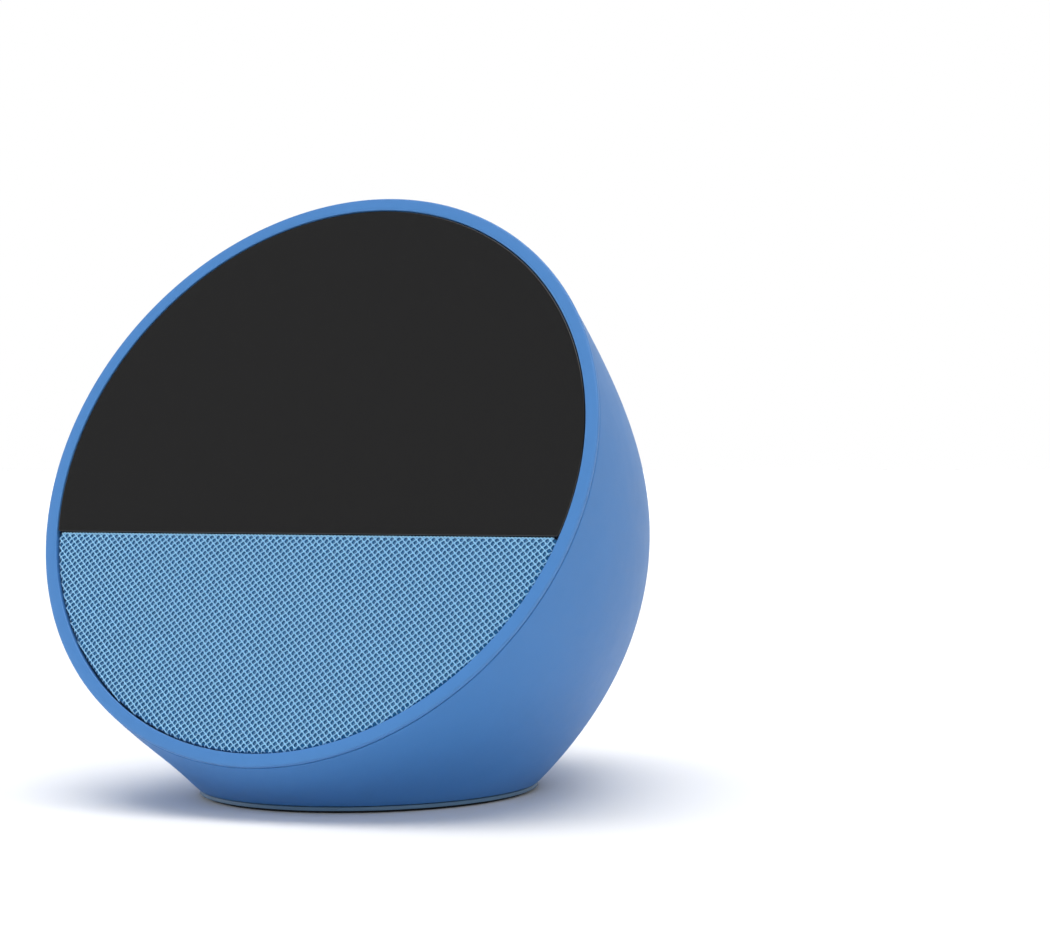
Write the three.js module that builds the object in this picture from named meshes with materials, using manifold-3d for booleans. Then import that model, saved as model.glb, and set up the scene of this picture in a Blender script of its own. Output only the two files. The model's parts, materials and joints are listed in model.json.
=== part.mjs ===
// A small smart display: a blue bowl-shaped housing whose round face leans back, with a half-moon
// screen above a knitted speaker grille. Millimetres, +Z up, +X to the viewer's right, -Y to the front.
// The origin is the centre of the foot pad's underside.
import * as THREE from 'three';
import { mergeVertices } from 'three/addons/utils/BufferGeometryUtils.js';
import Module from 'manifold-3d';

const wasm = await Module();
wasm.setup();

// ---------------------------------------------------------------- driving dimensions

const GAP = 0.3;                       // clearance between neighbouring pieces
const TILT = THREE.MathUtils.degToRad(27.2);   // how far the face leans back from upright
const FACE_CENTRE = new THREE.Vector3(0, -18.2, 60);
const FACE_RADIUS = 56.5;
const BASE_RADIUS = 31.6;
const BASE_HEIGHT = 1.3;               // where the housing ends above the base plate
const WALL = 2.2;
const ROUND = 44;                      // facets round a large circle
const SMALL_ROUND = 20;
const SCREW_ROUND = 8;

// The housing's side curve at any angle round the face is a cubic between the rim and the base ring.
// Each handle's length and lean is given at the back, the side and the front.
const RIM_REACH = { back: 61.0, side: 48.1, front: 5.2 };
const BASE_REACH = { back: 63.5, side: 16.5, front: 5.3 };
const RIM_LEAN = { back: -12.1, side: -1.1, front: 6.6 };
const BASE_LEAN = { back: 35.9, side: 44.8, front: 34.4 };

// Depths below are measured from the bezel's front plane, negative into the body.
const bezel = { inner: 54.05, flange: 0.8, barrel: 54.8, shelf: -2.9, shelfBack: -3.9, shelfInner: 50.8 };
const skirt = { outer: 53, inner: 51.6, end: -6.4 };
const DIVIDER = -12.2;                 // line between the glass and the grille, up the face
const glass = { radius: 53.65, front: -0.4, thickness: 1.6, corner: 1.0 };
const gasket = { outer: 53.3, inner: 51.3, front: -2.3, thickness: 0.3, bar: 2.2 };
const fabric = { front: -0.5, thickness: 0.8 };
const carrier = { front: -1.6, thickness: 1.0, hole: 3.1, pitch: 8.6, margin: 5 };
const chassis = { radius: 51.3, front: -4.2, thickness: 1.6, bossRadius: 2.6, bossEnd: -12.7 };

const lcd = { width: 61.4, low: -7.7, high: 37.7, front: -2.3, thickness: 1.4 };
const backlight = { front: -4.0, thickness: 1.6 };
const tray = { front: -6.1, thickness: 0.8, width: 66, low: -8.6, high: 40 };

const driver = { y: -29.5, opening: 19, crossbar: -11.3, screwOffset: 17, flange: -6.9, halfWidth: 20.5 };
const basketBowl = { hole: 17.4, wide: 17.9, narrow: 15.2, floor: -16.4, skin: 0.8, windows: 3 };
const roll = { middle: 16.95, radius: 1.35, skin: 0.35, height: -6.45, rimEnd: 19.1 };
const spiderRing = { inner: 7.65, width: 5.8, height: -14.85, wave: 0.3, waves: 3, skin: 0.24 };
const cone = { inner: 7.7, outer: 15.2, low: -12.8, high: -7.5, skin: 0.6 };
const dome = { radius: 7.3, rise: 2.6, height: -11.1, skin: 0.4 };
const coil = { outer: 7.4, inner: 6.6, low: -19.4, high: -11.5 };
const motor = {
  radius: 12.5, plateBore: 7.8, plateTop: -16.7, plateLow: -18.2,
  magnetBore: 8.6, magnetTop: -18.5, magnetLow: -21.5,
  yokeRadius: 13, yokeTop: -21.8, yokeLow: -23.4, pole: 6.2, poleTop: -16.9,
};
const enclosure = { radius: 27.5, front: -8.2, back: -46, wall: 1.6, clearWall: 3.2, floor: 9 };

const board = { width: 80, low: 2, high: 34, front: -13, thickness: 1.2, screwX: 36.5, screwY: [8, 28] };

const BUTTON_SEAT = 0.09;              // how far down the housing's back curve the buttons sit
const button = { radius: 4.6, spacing: 16.5, proud: 0.4, flangeRadius: 5.7, stem: 1.4, stemEnd: -7.6 };
const buttonBoard = { width: 58, height: 11, top: -12, thickness: 1, screwX: 25.3 };
const tactSwitch = { side: 6.2, height: 3.1, plunger: 1.45, proud: 0.7 };
const microphone = { x: 8.25, port: 0.6 };

const jack = { height: 24, recess: 5.8, collar: 7.6, face: 44, back: 31, bore: 3.2, boreDepth: 9 };
const foot = { radius: 30.4, thickness: 0.4 };
const plate = { radius: 31.4, lip: 1.0, bottom: 0.5, bevel: 0.15, top: 3.8, spigot: 28.2 };
const baseScrew = { radius: 24.5, seat: 2.0, length: 5.8, bossTop: 8.6 };

// ---------------------------------------------------------------- finishes

const finishes = {
  blue_plastic: { color: 0x4878b8, roughness: 0.55, metalness: 0 },
  bezel_plastic: { color: 0x4a86c6, roughness: 0.5, metalness: 0 },
  base_plastic: { color: 0x5f84a8, roughness: 0.6, metalness: 0 },
  screen_glass: { color: 0x242424, roughness: 0.12, metalness: 0 },
  knit: { color: 0x5d8db6, roughness: 0.9, metalness: 0 },
  black_plastic: { color: 0x1f2124, roughness: 0.6, metalness: 0 },
  black_rubber: { color: 0x1c1d1f, roughness: 0.85, metalness: 0 },
  circuit_board: { color: 0x1c5a3a, roughness: 0.5, metalness: 0 },
  flex_film: { color: 0xa8702a, roughness: 0.5, metalness: 0 },
  bare_steel: { color: 0xb9bcc0, roughness: 0.35, metalness: 1 },
  bare_aluminium: { color: 0xc8cbcf, roughness: 0.4, metalness: 1 },
  ferrite: { color: 0x35363a, roughness: 0.7, metalness: 0 },
  paper_cone: { color: 0x26282b, roughness: 0.9, metalness: 0 },
  copper: { color: 0xb87333, roughness: 0.4, metalness: 1 },
  brass: { color: 0xc9a24a, roughness: 0.3, metalness: 1 },
  panel_white: { color: 0xe6e6e2, roughness: 0.6, metalness: 0 },
  pad_grey: { color: 0x8d9298, roughness: 0.8, metalness: 0 },
};

// ---------------------------------------------------------------- solids and cuts

/** Turn a closed three.js geometry into a solid, with its faces pointing out. */
function solid(geometry) {
  const bare = geometry.clone();
  bare.deleteAttribute('normal');
  bare.deleteAttribute('uv');
  const merged = mergeVertices(bare, 1e-4);
  const points = new Float32Array(merged.attributes.position.array);
  const corners = [];
  const index = merged.index.array;
  let volume = 0;
  const a = new THREE.Vector3();
  const b = new THREE.Vector3();
  const c = new THREE.Vector3();
  for (let i = 0; i < index.length; i += 3) {
    const [p, q, r] = [index[i], index[i + 1], index[i + 2]];
    if (p === q || q === r || r === p) continue;
    corners.push(p, q, r);
    a.fromArray(points, 3 * p);
    b.fromArray(points, 3 * q);
    c.fromArray(points, 3 * r);
    volume += a.dot(b.cross(c));
  }
  if (volume < 0) corners.reverse();
  const mesh = new wasm.Mesh({ numProp: 3, vertProperties: points, triVerts: new Uint32Array(corners) });
  return new wasm.Manifold(mesh);
}

/** Give a solid back as a three.js geometry. */
function geometryOf(body) {
  const mesh = body.getMesh();
  const geometry = new THREE.BufferGeometry();
  geometry.setAttribute('position', new THREE.BufferAttribute(new Float32Array(mesh.vertProperties), 3));
  geometry.setIndex(Array.from(mesh.triVerts));
  geometry.computeVertexNormals();
  return geometry;
}

/** A solid turned about Z from [radius, height] corners; a ring's corners close on themselves. */
function turned(corners, facets = SMALL_ROUND) {
  const points = corners.map(([r, z]) => new THREE.Vector2(r, z));
  const ring = corners.every(([r]) => r > 0);
  if (ring) points.push(points[0].clone());
  return solid(new THREE.LatheGeometry(points, facets).rotateX(Math.PI / 2));
}

/** A round bar along Z between two heights, at x, y. */
function bar(radius, low, high, x = 0, y = 0, facets = SMALL_ROUND) {
  return turned([[0, low], [radius, low], [radius, high], [0, high]], facets).translate(x, y, 0);
}

/** A ring along Z between two heights. */
function tube(outer, inner, low, high, facets = SMALL_ROUND) {
  return turned([[inner, low], [outer, low], [outer, high], [inner, high]], facets);
}

/** A block between two corners. */
function block(low, high) {
  const size = high.map((value, i) => value - low[i]);
  const middle = high.map((value, i) => (value + low[i]) / 2);
  return solid(new THREE.BoxGeometry(...size).translate(...middle));
}

/** A flat outline given thickness, its front face at the height named front. */
function slab(outline, front, thickness, curveSegments = 12) {
  const geometry = new THREE.ExtrudeGeometry(outline, { depth: thickness, bevelEnabled: false, curveSegments });
  return solid(geometry.translate(0, 0, front - thickness));
}

/** A bent strip: [y, z] points of its middle line, given a thickness, across the width along X. */
function ribbon(line, thickness, width, x = 0) {
  const curve = new THREE.CatmullRomCurve3(line.map(([y, z]) => new THREE.Vector3(y, z, 0)));
  const upper = [];
  const lower = [];
  const steps = 14;
  for (let i = 0; i <= steps; i += 1) {
    const point = curve.getPoint(i / steps);
    const run = curve.getTangent(i / steps);
    const side = new THREE.Vector2(-run.y, run.x).multiplyScalar(thickness / 2);
    upper.push(new THREE.Vector2(point.x + side.x, point.y + side.y));
    lower.unshift(new THREE.Vector2(point.x - side.x, point.y - side.y));
  }
  const geometry = new THREE.ExtrudeGeometry(new THREE.Shape([...upper, ...lower]),
    { depth: width, bevelEnabled: false });
  // outline axes (y, z) and the width run along Y, Z and X
  const turn = new THREE.Matrix4().set(0, 0, 1, x - width / 2, 1, 0, 0, 0, 0, 1, 0, 0, 0, 0, 0, 1);
  return solid(geometry.applyMatrix4(turn));
}

/** A round lead along a curve through the points. */
function lead(points, radius) {
  const path = new THREE.CatmullRomCurve3(points.map((p) => new THREE.Vector3(...p)));
  const section = new THREE.Shape().absarc(0, 0, radius, 0, 2 * Math.PI);
  return solid(new THREE.ExtrudeGeometry(section, { steps: 14, extrudePath: path, curveSegments: 4 }));
}

/** A screw whose head's underside is at z = 0 and whose shank points to +Z. */
function screw(length, shank = 0.8, head = 1.8, headHeight = 1.1) {
  const corners = [[0, -headHeight], [head * 0.8, -headHeight], [head, -headHeight * 0.6], [head, 0],
    [shank, 0], [shank, length - 0.6], [shank * 0.4, length], [0, length]];
  const slotWidth = 0.45;
  const slotDepth = 0.45;
  const slot = block([-head * 0.6, -slotWidth / 2, -headHeight - 1], [head * 0.6, slotWidth / 2,
    -headHeight + slotDepth]);
  return turned(corners, SCREW_ROUND).subtract(slot).subtract(slot.rotate(0, 0, 90));
}

// ---------------------------------------------------------------- outlines on the face

/** Part of a disc above the line y = chord (upper) or below it, with cut corners. */
function discPart(radius, chord, corner, upper, steps = 30) {
  const angle = Math.asin(chord / radius);
  const trim = corner / radius;
  const from = upper ? angle + trim : Math.PI - angle + trim;
  const to = upper ? Math.PI - angle - trim : 2 * Math.PI + angle - trim;
  const points = [];
  for (let i = 0; i <= steps; i += 1) {
    const at = from + (to - from) * i / steps;
    points.push(new THREE.Vector2(radius * Math.cos(at), radius * Math.sin(at)));
  }
  const reach = (radius * Math.cos(angle) - corner) * (upper ? -1 : 1);
  points.push(new THREE.Vector2(reach, chord), new THREE.Vector2(-reach, chord));
  return new THREE.Shape(points);
}

/** The same outline moved up the face. */
function shifted(outline, y) {
  return new THREE.Shape(outline.getPoints().map((p) => new THREE.Vector2(p.x, p.y + y)));
}

/** A rounded rectangle from left to right and low to high. */
function roundedRect(left, right, low, high, radius) {
  const outline = new THREE.Shape();
  const quarter = Math.PI / 2;
  outline.absarc(right - radius, high - radius, radius, 0, quarter);
  outline.absarc(left + radius, high - radius, radius, quarter, 2 * quarter);
  outline.absarc(left + radius, low + radius, radius, 2 * quarter, 3 * quarter);
  outline.absarc(right - radius, low + radius, radius, 3 * quarter, 4 * quarter);
  return outline;
}

// ---------------------------------------------------------------- the housing's form

const faceNormal = new THREE.Vector3(0, -Math.cos(TILT), Math.sin(TILT));
const faceUp = new THREE.Vector3(0, Math.sin(TILT), Math.cos(TILT));
const across = new THREE.Vector3(1, 0, 0);
const back = new THREE.Vector3(0, 1, 0);
const upright = new THREE.Vector3(0, 0, 1);

/** A value given at the back, side and front, eased round the angle between them. */
function eased({ back: atBack, side, front }, angle) {
  const mean = (atBack + front) / 4 + side / 2;
  return mean + (atBack - front) / 2 * Math.cos(angle) + (mean - side) * Math.cos(2 * angle);
}

/** The side curve at one angle round the face: 0 is the top, 90 degrees is +X. */
function sideCurve(angle) {
  const radian = THREE.MathUtils.degToRad;
  const rimOut = across.clone().multiplyScalar(Math.sin(angle)).addScaledVector(faceUp, Math.cos(angle));
  const baseOut = across.clone().multiplyScalar(Math.sin(angle)).addScaledVector(back, Math.cos(angle));
  const rim = FACE_CENTRE.clone().addScaledVector(rimOut, FACE_RADIUS);
  const base = new THREE.Vector3(0, 0, BASE_HEIGHT).addScaledVector(baseOut, BASE_RADIUS);
  const rimLean = radian(eased(RIM_LEAN, angle));
  const baseLean = radian(eased(BASE_LEAN, angle));
  const fromRim = rimOut.clone().multiplyScalar(Math.sin(rimLean)).addScaledVector(faceNormal, -Math.cos(rimLean));
  const fromBase = baseOut.multiplyScalar(Math.cos(baseLean)).addScaledVector(upright, Math.sin(baseLean));
  const rimHandle = rim.clone().addScaledVector(fromRim, eased(RIM_REACH, angle));
  const baseHandle = base.clone().addScaledVector(fromBase, eased(BASE_REACH, angle));
  return new THREE.CubicBezierCurve3(rim, rimHandle, baseHandle, base);
}

/** A point of the housing's outer surface, and its outward direction. */
function surfaceAt(angle, along) {
  const step = 1e-3;
  const curve = sideCurve(angle);
  const point = curve.getPoint(along);
  const down = curve.getPoint(along + step).sub(curve.getPoint(along - step));
  const round = sideCurve(angle + step).getPoint(along).sub(sideCurve(angle - step).getPoint(along));
  return { point, outward: down.cross(round).normalize().negate() };
}

/** The closed housing form, grown by offset; it runs a little past the face and the base. */
function form(offset) {
  const rows = 9;
  const past = 0.035;
  const points = [];
  for (let row = 0; row <= rows; row += 1) {
    const along = -past + (1 + 2 * past) * row / rows;
    for (let column = 0; column < ROUND; column += 1) {
      const { point, outward } = surfaceAt(2 * Math.PI * column / ROUND, along);
      points.push(point.addScaledVector(outward, offset));
    }
  }
  const index = [];
  for (let row = 0; row < rows; row += 1) {
    for (let column = 0; column < ROUND; column += 1) {
      const next = (column + 1) % ROUND;
      const [p, q] = [row * ROUND + column, row * ROUND + next];
      index.push(p, q, p + ROUND, q, q + ROUND, p + ROUND);
    }
  }
  for (const row of [0, rows]) {
    const ring = points.slice(row * ROUND, (row + 1) * ROUND);
    const middle = ring.reduce((sum, p) => sum.add(p), new THREE.Vector3()).divideScalar(ROUND);
    const hub = points.push(middle) - 1;
    for (let column = 0; column < ROUND; column += 1) {
      const [p, q] = [row * ROUND + column, row * ROUND + (column + 1) % ROUND];
      index.push(...(row === 0 ? [hub, q, p] : [hub, p, q]));
    }
  }
  const geometry = new THREE.BufferGeometry().setFromPoints(points);
  geometry.setIndex(index);
  return solid(geometry);
}

// ---------------------------------------------------------------- places

const faceGroup = new THREE.Group();
faceGroup.position.copy(FACE_CENTRE);
faceGroup.rotation.x = Math.PI / 2 - TILT;

const seat = surfaceAt(0, BUTTON_SEAT);
const buttonGroup = new THREE.Group();
buttonGroup.position.copy(seat.point);
buttonGroup.rotation.x = -Math.atan2(seat.outward.y, seat.outward.z);

const baseGroup = new THREE.Group();
const display = new THREE.Group();
display.add(faceGroup, buttonGroup, baseGroup);
display.updateMatrixWorld(true);

/** Move a solid from a group's own frame into the whole object's frame. */
function toWorld(body, group) {
  return body.transform(group.matrixWorld.toArray());
}

/** Name a solid, give it its finish and hang it in its group. */
function place(group, name, body, finish) {
  const mesh = new THREE.Mesh(geometryOf(body), new THREE.MeshStandardMaterial(finishes[finish]));
  mesh.name = name;
  group.add(mesh);
}

const BIG = 200;
const behindFace = (depth) => toWorld(block([-BIG, -BIG, -BIG], [BIG, BIG, depth]), faceGroup);
const above = (height) => block([-BIG, -BIG, height], [BIG, BIG, BIG]);

const outerForm = form(0);
const innerForm = form(-WALL);

// ---------------------------------------------------------------- housing, bezel and base

/** A round bar along Y, out of the back at the power socket's height. */
function socketBar(radius, from, to) {
  return bar(radius, -to, -from).rotate(90, 0, 0).translate(0, 0, jack.height);
}

function rearHousing() {
  const mouth = -(bezel.flange + GAP);
  const outside = outerForm.intersect(behindFace(mouth)).intersect(above(BASE_HEIGHT));
  const rebate = bar(bezel.barrel + GAP, bezel.shelfBack - GAP, 1, 0, 0, ROUND)
    .add(bar(skirt.outer + GAP, skirt.end - GAP, 1, 0, 0, ROUND));
  const baseOpening = bar(plate.spigot + GAP, 0, plate.top + GAP, 0, 0, ROUND);
  let body = outside.subtract(innerForm).subtract(baseOpening);
  // the socket's collar, and the posts that the button board and the base plate screw to
  const keepInside = form(-0.6).intersect(above(BASE_HEIGHT));
  body = body.add(socketBar(jack.collar, jack.back + 5, BIG).intersect(keepInside));
  for (const side of [-1, 1]) {
    const post = bar(2.4, buttonBoard.top + GAP, 0, side * buttonBoard.screwX, 0, SCREW_ROUND + 4);
    body = body.add(toWorld(post, buttonGroup).intersect(keepInside));
  }
  for (const [x, y] of baseScrewPlaces()) {
    const outward = Math.atan2(y, x) * 180 / Math.PI;
    const web = block([0, -1.2, plate.top + GAP], [16, 1.2, baseScrew.bossTop]).rotate(0, 0, outward);
    const post = bar(2.8, plate.top + GAP, baseScrew.bossTop, 0, 0, SCREW_ROUND + 4).add(web);
    body = body.add(post.translate(x, y, 0).intersect(keepInside));
  }
  body = body.subtract(toWorld(rebate, faceGroup));
  // openings
  body = body.subtract(socketBar(jack.recess, jack.back, BIG));
  for (const x of buttonPlaces()) {
    body = body.subtract(toWorld(bar(button.radius + GAP, -7.5, 8, x), buttonGroup));
  }
  for (const side of [-1, 1]) {
    const port = bar(microphone.port, -6, 8, side * microphone.x, 0, 8);
    const pilot = bar(1.1, buttonBoard.top - 1, buttonBoard.top + 4.4, side * buttonBoard.screwX, 0,
      SCREW_ROUND);
    body = body.subtract(toWorld(port, buttonGroup)).subtract(toWorld(pilot, buttonGroup));
  }
  for (const [x, y] of baseScrewPlaces()) {
    body = body.subtract(bar(1.1, 0, baseScrew.bossTop - 0.6, x, y, SCREW_ROUND));
  }
  return body;
}

function baseScrewPlaces() {
  return [90, 210, 330].map((degrees) => {
    const angle = THREE.MathUtils.degToRad(degrees);
    return [baseScrew.radius * Math.cos(angle), baseScrew.radius * Math.sin(angle)];
  });
}

function buttonPlaces() {
  return [-button.spacing, 0, button.spacing];
}

function frontBezel() {
  const edge = 0.35;
  return turned([
    [bezel.inner, 0], [FACE_RADIUS - edge, 0], [FACE_RADIUS, -edge], [FACE_RADIUS, -bezel.flange],
    [bezel.barrel, -bezel.flange], [bezel.barrel, bezel.shelfBack], [skirt.outer, bezel.shelfBack],
    [skirt.outer, skirt.end], [skirt.inner, skirt.end], [skirt.inner, bezel.shelfBack],
    [bezel.shelfInner, bezel.shelfBack], [bezel.shelfInner, bezel.shelf], [bezel.inner, bezel.shelf],
  ], ROUND);
}

/** A thin round lip under the housing and a spigot inside it, with three sunk screw holes. */
function basePlate() {
  let body = turned([
    [0, plate.bottom], [plate.radius - plate.bevel, plate.bottom], [plate.radius, plate.bottom + plate.bevel],
    [plate.radius, plate.lip], [plate.spigot, plate.lip], [plate.spigot, plate.top], [0, plate.top],
  ], ROUND);
  for (const [x, y] of baseScrewPlaces()) {
    body = body.subtract(bar(1.2, 0, 6, x, y, SCREW_ROUND));
    body = body.subtract(bar(2.2, 0, baseScrew.seat, x, y, SCREW_ROUND + 2));
  }
  return body;
}

place(display, 'rear_housing', rearHousing(), 'blue_plastic');
place(faceGroup, 'front_bezel', frontBezel(), 'bezel_plastic');
place(baseGroup, 'base_plate', basePlate(), 'base_plastic');
place(baseGroup, 'foot_pad', bar(foot.radius, 0, foot.thickness, 0, 0, ROUND), 'black_rubber');
baseScrewPlaces().forEach(([x, y], i) => {
  const body = screw(baseScrew.length).translate(x, y, baseScrew.seat - 0.05);
  place(baseGroup, `base_screw_${i + 1}`, body, 'bare_steel');
});

// ---------------------------------------------------------------- glass, grille and chassis

function glassGasket() {
  const outline = discPart(gasket.outer, DIVIDER + 0.6, glass.corner, true);
  outline.holes.push(discPart(gasket.inner, DIVIDER + 0.6 + gasket.bar, glass.corner, true));
  return slab(outline, gasket.front, gasket.thickness);
}

/** A plate with rows of staggered round holes behind the fabric. */
function grilleCarrier() {
  const top = DIVIDER - GAP;
  const outline = discPart(glass.radius - GAP, top, glass.corner, false);
  const rowHeight = carrier.pitch * Math.sqrt(3) / 2;
  const columns = Math.ceil(2 * glass.radius / carrier.pitch);
  for (let row = 0; row * rowHeight < glass.radius; row += 1) {
    for (let column = -columns; column <= columns; column += 1) {
      const x = (column + (row % 2) / 2) * carrier.pitch;
      const y = top - carrier.margin - row * rowHeight;
      if (Math.hypot(x, y) > glass.radius - carrier.margin) continue;
      outline.holes.push(new THREE.Path().absarc(x, y, carrier.hole, 0, 2 * Math.PI));
    }
  }
  return slab(outline, carrier.front, carrier.thickness, 4);
}

function frontChassis() {
  const outline = new THREE.Shape().absarc(0, 0, chassis.radius, 0, 2 * Math.PI);
  const half = lcd.width / 2 + GAP;
  outline.holes.push(roundedRect(-half, half, lcd.low - GAP, lcd.high + GAP, 1));
  const clip = driver.crossbar - driver.y;
  outline.holes.push(shifted(discPart(driver.opening, clip, 1, false, 24), driver.y));
  let body = slab(outline, chassis.front, chassis.thickness, 24);
  for (const x of [-board.screwX, board.screwX]) {
    for (const y of board.screwY) {
      const top = chassis.front - chassis.thickness / 2;
      body = body.add(bar(chassis.bossRadius, chassis.bossEnd, top, x, y, SCREW_ROUND + 2));
      body = body.subtract(bar(1.1, chassis.bossEnd - 1, chassis.bossEnd + 5, x, y, SCREW_ROUND));
    }
  }
  return body;
}

place(faceGroup, 'display_glass', slab(discPart(glass.radius, DIVIDER + 0.2, glass.corner, true),
  glass.front, glass.thickness), 'screen_glass');
place(faceGroup, 'glass_gasket', glassGasket(), 'black_rubber');
place(faceGroup, 'speaker_fabric', slab(discPart(glass.radius, DIVIDER - 0.2, glass.corner, false),
  fabric.front, fabric.thickness), 'knit');
place(faceGroup, 'grille_carrier', grilleCarrier(), 'black_plastic');
place(faceGroup, 'front_chassis', frontChassis(), 'black_plastic');

// ---------------------------------------------------------------- display

function lcdTray() {
  const outline = roundedRect(-tray.width / 2, tray.width / 2, tray.low, tray.high, 2);
  for (const x of [-18, 18]) {
    outline.holes.push(new THREE.Path(roundedRect(x - 9, x + 9, 6, 28, 3).getPoints(4)));
  }
  return slab(outline, tray.front, tray.thickness, 4);
}

const lcdHalf = lcd.width / 2;
place(faceGroup, 'lcd_panel', block([-lcdHalf, lcd.low, lcd.front - lcd.thickness],
  [lcdHalf, lcd.high, lcd.front]), 'black_plastic');
place(faceGroup, 'lcd_backlight', block([-lcdHalf, lcd.low, backlight.front - backlight.thickness],
  [lcdHalf, lcd.high, backlight.front]), 'panel_white');
place(faceGroup, 'lcd_tray', lcdTray(), 'bare_steel');
const displayFlexLine = [[-5, -7.35], [-1, -7.5], [2, -9.6], [2.4, -12], [4.4, -12.55], [8, -12.55]];
place(faceGroup, 'display_flex', ribbon(displayFlexLine, 0.25, 12, -6), 'flex_film');

// ---------------------------------------------------------------- loudspeaker

const speakerGroup = new THREE.Group();
speakerGroup.position.set(0, driver.y, -GAP);
faceGroup.add(speakerGroup);
speakerGroup.updateMatrixWorld(true);

/** The driver's screw places, round its own axis. */
function driverScrews() {
  const reach = driver.screwOffset;
  return [[-reach, -reach], [reach, -reach], [reach, reach], [-reach, reach]];
}

/** Square flange with a round bowl behind it and six windows in the bowl. */
function basket() {
  const half = driver.halfWidth;
  const outline = roundedRect(-half, half, -half, half, 4);
  outline.holes.push(new THREE.Path().absarc(0, 0, basketBowl.hole, 0, 2 * Math.PI));
  for (const [x, y] of driverScrews()) {
    outline.holes.push(new THREE.Path().absarc(x, y, 1.1, 0, 2 * Math.PI));
  }
  const { wide, narrow, floor, skin, windows } = basketBowl;
  const rimHeight = driver.flange - 0.9;
  let bowl = turned([[wide - 0.7, rimHeight], [wide, rimHeight + 0.4], [wide + 0.2, rimHeight], [narrow, floor],
    [9, floor], [9, floor + skin], [narrow - skin, floor + skin]]);
  for (let i = 0; i < windows; i += 1) {
    bowl = bowl.subtract(block([-30, -4.2, -14.4], [30, 4.2, -9.2]).rotate(0, 0, 180 * i / windows));
  }
  return slab(outline, driver.flange, 1, 6).add(bowl);
}

/** A half-roll edge between the cone and the basket. */
function surround() {
  const { middle, radius, skin, height, rimEnd } = roll;
  const outerArc = [];
  const innerArc = [];
  for (let i = 0; i <= 5; i += 1) {
    const angle = Math.PI * (1 - i / 5);
    outerArc.push([middle + radius * Math.cos(angle), height + radius * Math.sin(angle)]);
    innerArc.unshift([middle + (radius - skin) * Math.cos(angle), height + (radius - skin) * Math.sin(angle)]);
  }
  const rim = [[rimEnd, height + 0.05], [rimEnd, height - 0.2], [rimEnd - 0.9, height - 0.2]];
  return turned([...outerArc, ...rim, ...innerArc]);
}

/** Corrugated ring that centres the voice coil. */
function spider() {
  const { inner, width, height, wave, waves, skin } = spiderRing;
  const upper = [];
  const lower = [];
  const steps = waves * 3;
  for (let i = 0; i <= steps; i += 1) {
    const radius = inner + width * i / steps;
    const middle = height + wave * Math.sin(2 * Math.PI * waves * i / steps);
    upper.push([radius, middle + skin / 2]);
    lower.unshift([radius, middle - skin / 2]);
  }
  return turned([...upper, ...lower]);
}

/** A thin dome over the voice coil. */
function dustCap() {
  const { radius, rise, height, skin } = dome;
  const outer = [];
  const inner = [];
  const steps = 4;
  for (let i = 0; i <= steps; i += 1) {
    const angle = Math.PI / 2 * i / steps;
    outer.push([radius * Math.cos(angle), height + rise * Math.sin(angle)]);
    inner.unshift([(radius - skin) * Math.cos(angle), height + (rise - skin) * Math.sin(angle)]);
  }
  outer[steps][0] = 0;
  inner[0][0] = 0;
  return turned([...inner, ...outer]);
}

/** Back plate with a round pole through the coil. */
function yoke() {
  return turned([[0, motor.yokeLow], [motor.yokeRadius, motor.yokeLow], [motor.yokeRadius, motor.yokeTop],
    [motor.pole, motor.yokeTop], [motor.pole, motor.poleTop], [0, motor.poleTop]]);
}

/** Sealed box behind the driver, cut to the housing's inside form. */
function speakerEnclosure() {
  const { radius, front, back: rear, wall, clearWall, floor } = enclosure;
  const world = (body) => toWorld(body, speakerGroup);
  const outside = world(bar(radius, rear, front, 0, 0, 32)).intersect(form(-clearWall)).intersect(above(floor));
  const hollow = world(bar(radius - wall, rear + wall, front - wall, 0, 0, 32))
    .intersect(form(-clearWall - wall)).intersect(above(floor + wall));
  let body = outside.subtract(hollow);
  for (const [x, y] of driverScrews()) {
    body = body.add(world(bar(2.4, front - 5.4, front - wall / 2, x, y, SCREW_ROUND + 2)));
    body = body.subtract(world(bar(1.1, front - 4.4, front + 1, x, y, SCREW_ROUND)));
  }
  return body.subtract(world(bar(18.6, front - wall - 1, front + 1)));
}

place(speakerGroup, 'speaker_gasket', tube(20.4, 19.4, -6.6, -5.8), 'black_rubber');
place(speakerGroup, 'speaker_basket', basket(), 'black_plastic');
place(speakerGroup, 'speaker_surround', surround(), 'black_rubber');
place(speakerGroup, 'speaker_cone', turned([[cone.inner, cone.low + cone.skin], [cone.inner, cone.low],
  [cone.outer, cone.high], [cone.outer, cone.high + cone.skin]]), 'paper_cone');
place(speakerGroup, 'dust_cap', dustCap(), 'paper_cone');
place(speakerGroup, 'voice_coil', tube(coil.outer, coil.inner, coil.low, coil.high), 'copper');
place(speakerGroup, 'speaker_spider', spider(), 'knit');
place(speakerGroup, 'speaker_top_plate', tube(motor.radius, motor.plateBore, motor.plateLow, motor.plateTop),
  'bare_steel');
place(speakerGroup, 'speaker_magnet', tube(motor.radius, motor.magnetBore, motor.magnetLow, motor.magnetTop),
  'ferrite');
place(speakerGroup, 'speaker_yoke', yoke(), 'bare_steel');
driverScrews().forEach(([x, y], i) => {
  const body = screw(5.6).rotate(180, 0, 0).translate(x, y, driver.flange + 0.05);
  place(speakerGroup, `speaker_screw_${i + 1}`, body, 'bare_steel');
});
place(display, 'speaker_enclosure', speakerEnclosure(), 'black_plastic');
const speakerLeadLine = [[-12, -3.6, -20], [-12, -1.2, -21], [-12, 1.2, -19.5], [-12, 3.6, -15.6]];
place(faceGroup, 'speaker_lead', lead(speakerLeadLine, 0.7), 'black_rubber');

// ---------------------------------------------------------------- main board

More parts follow.
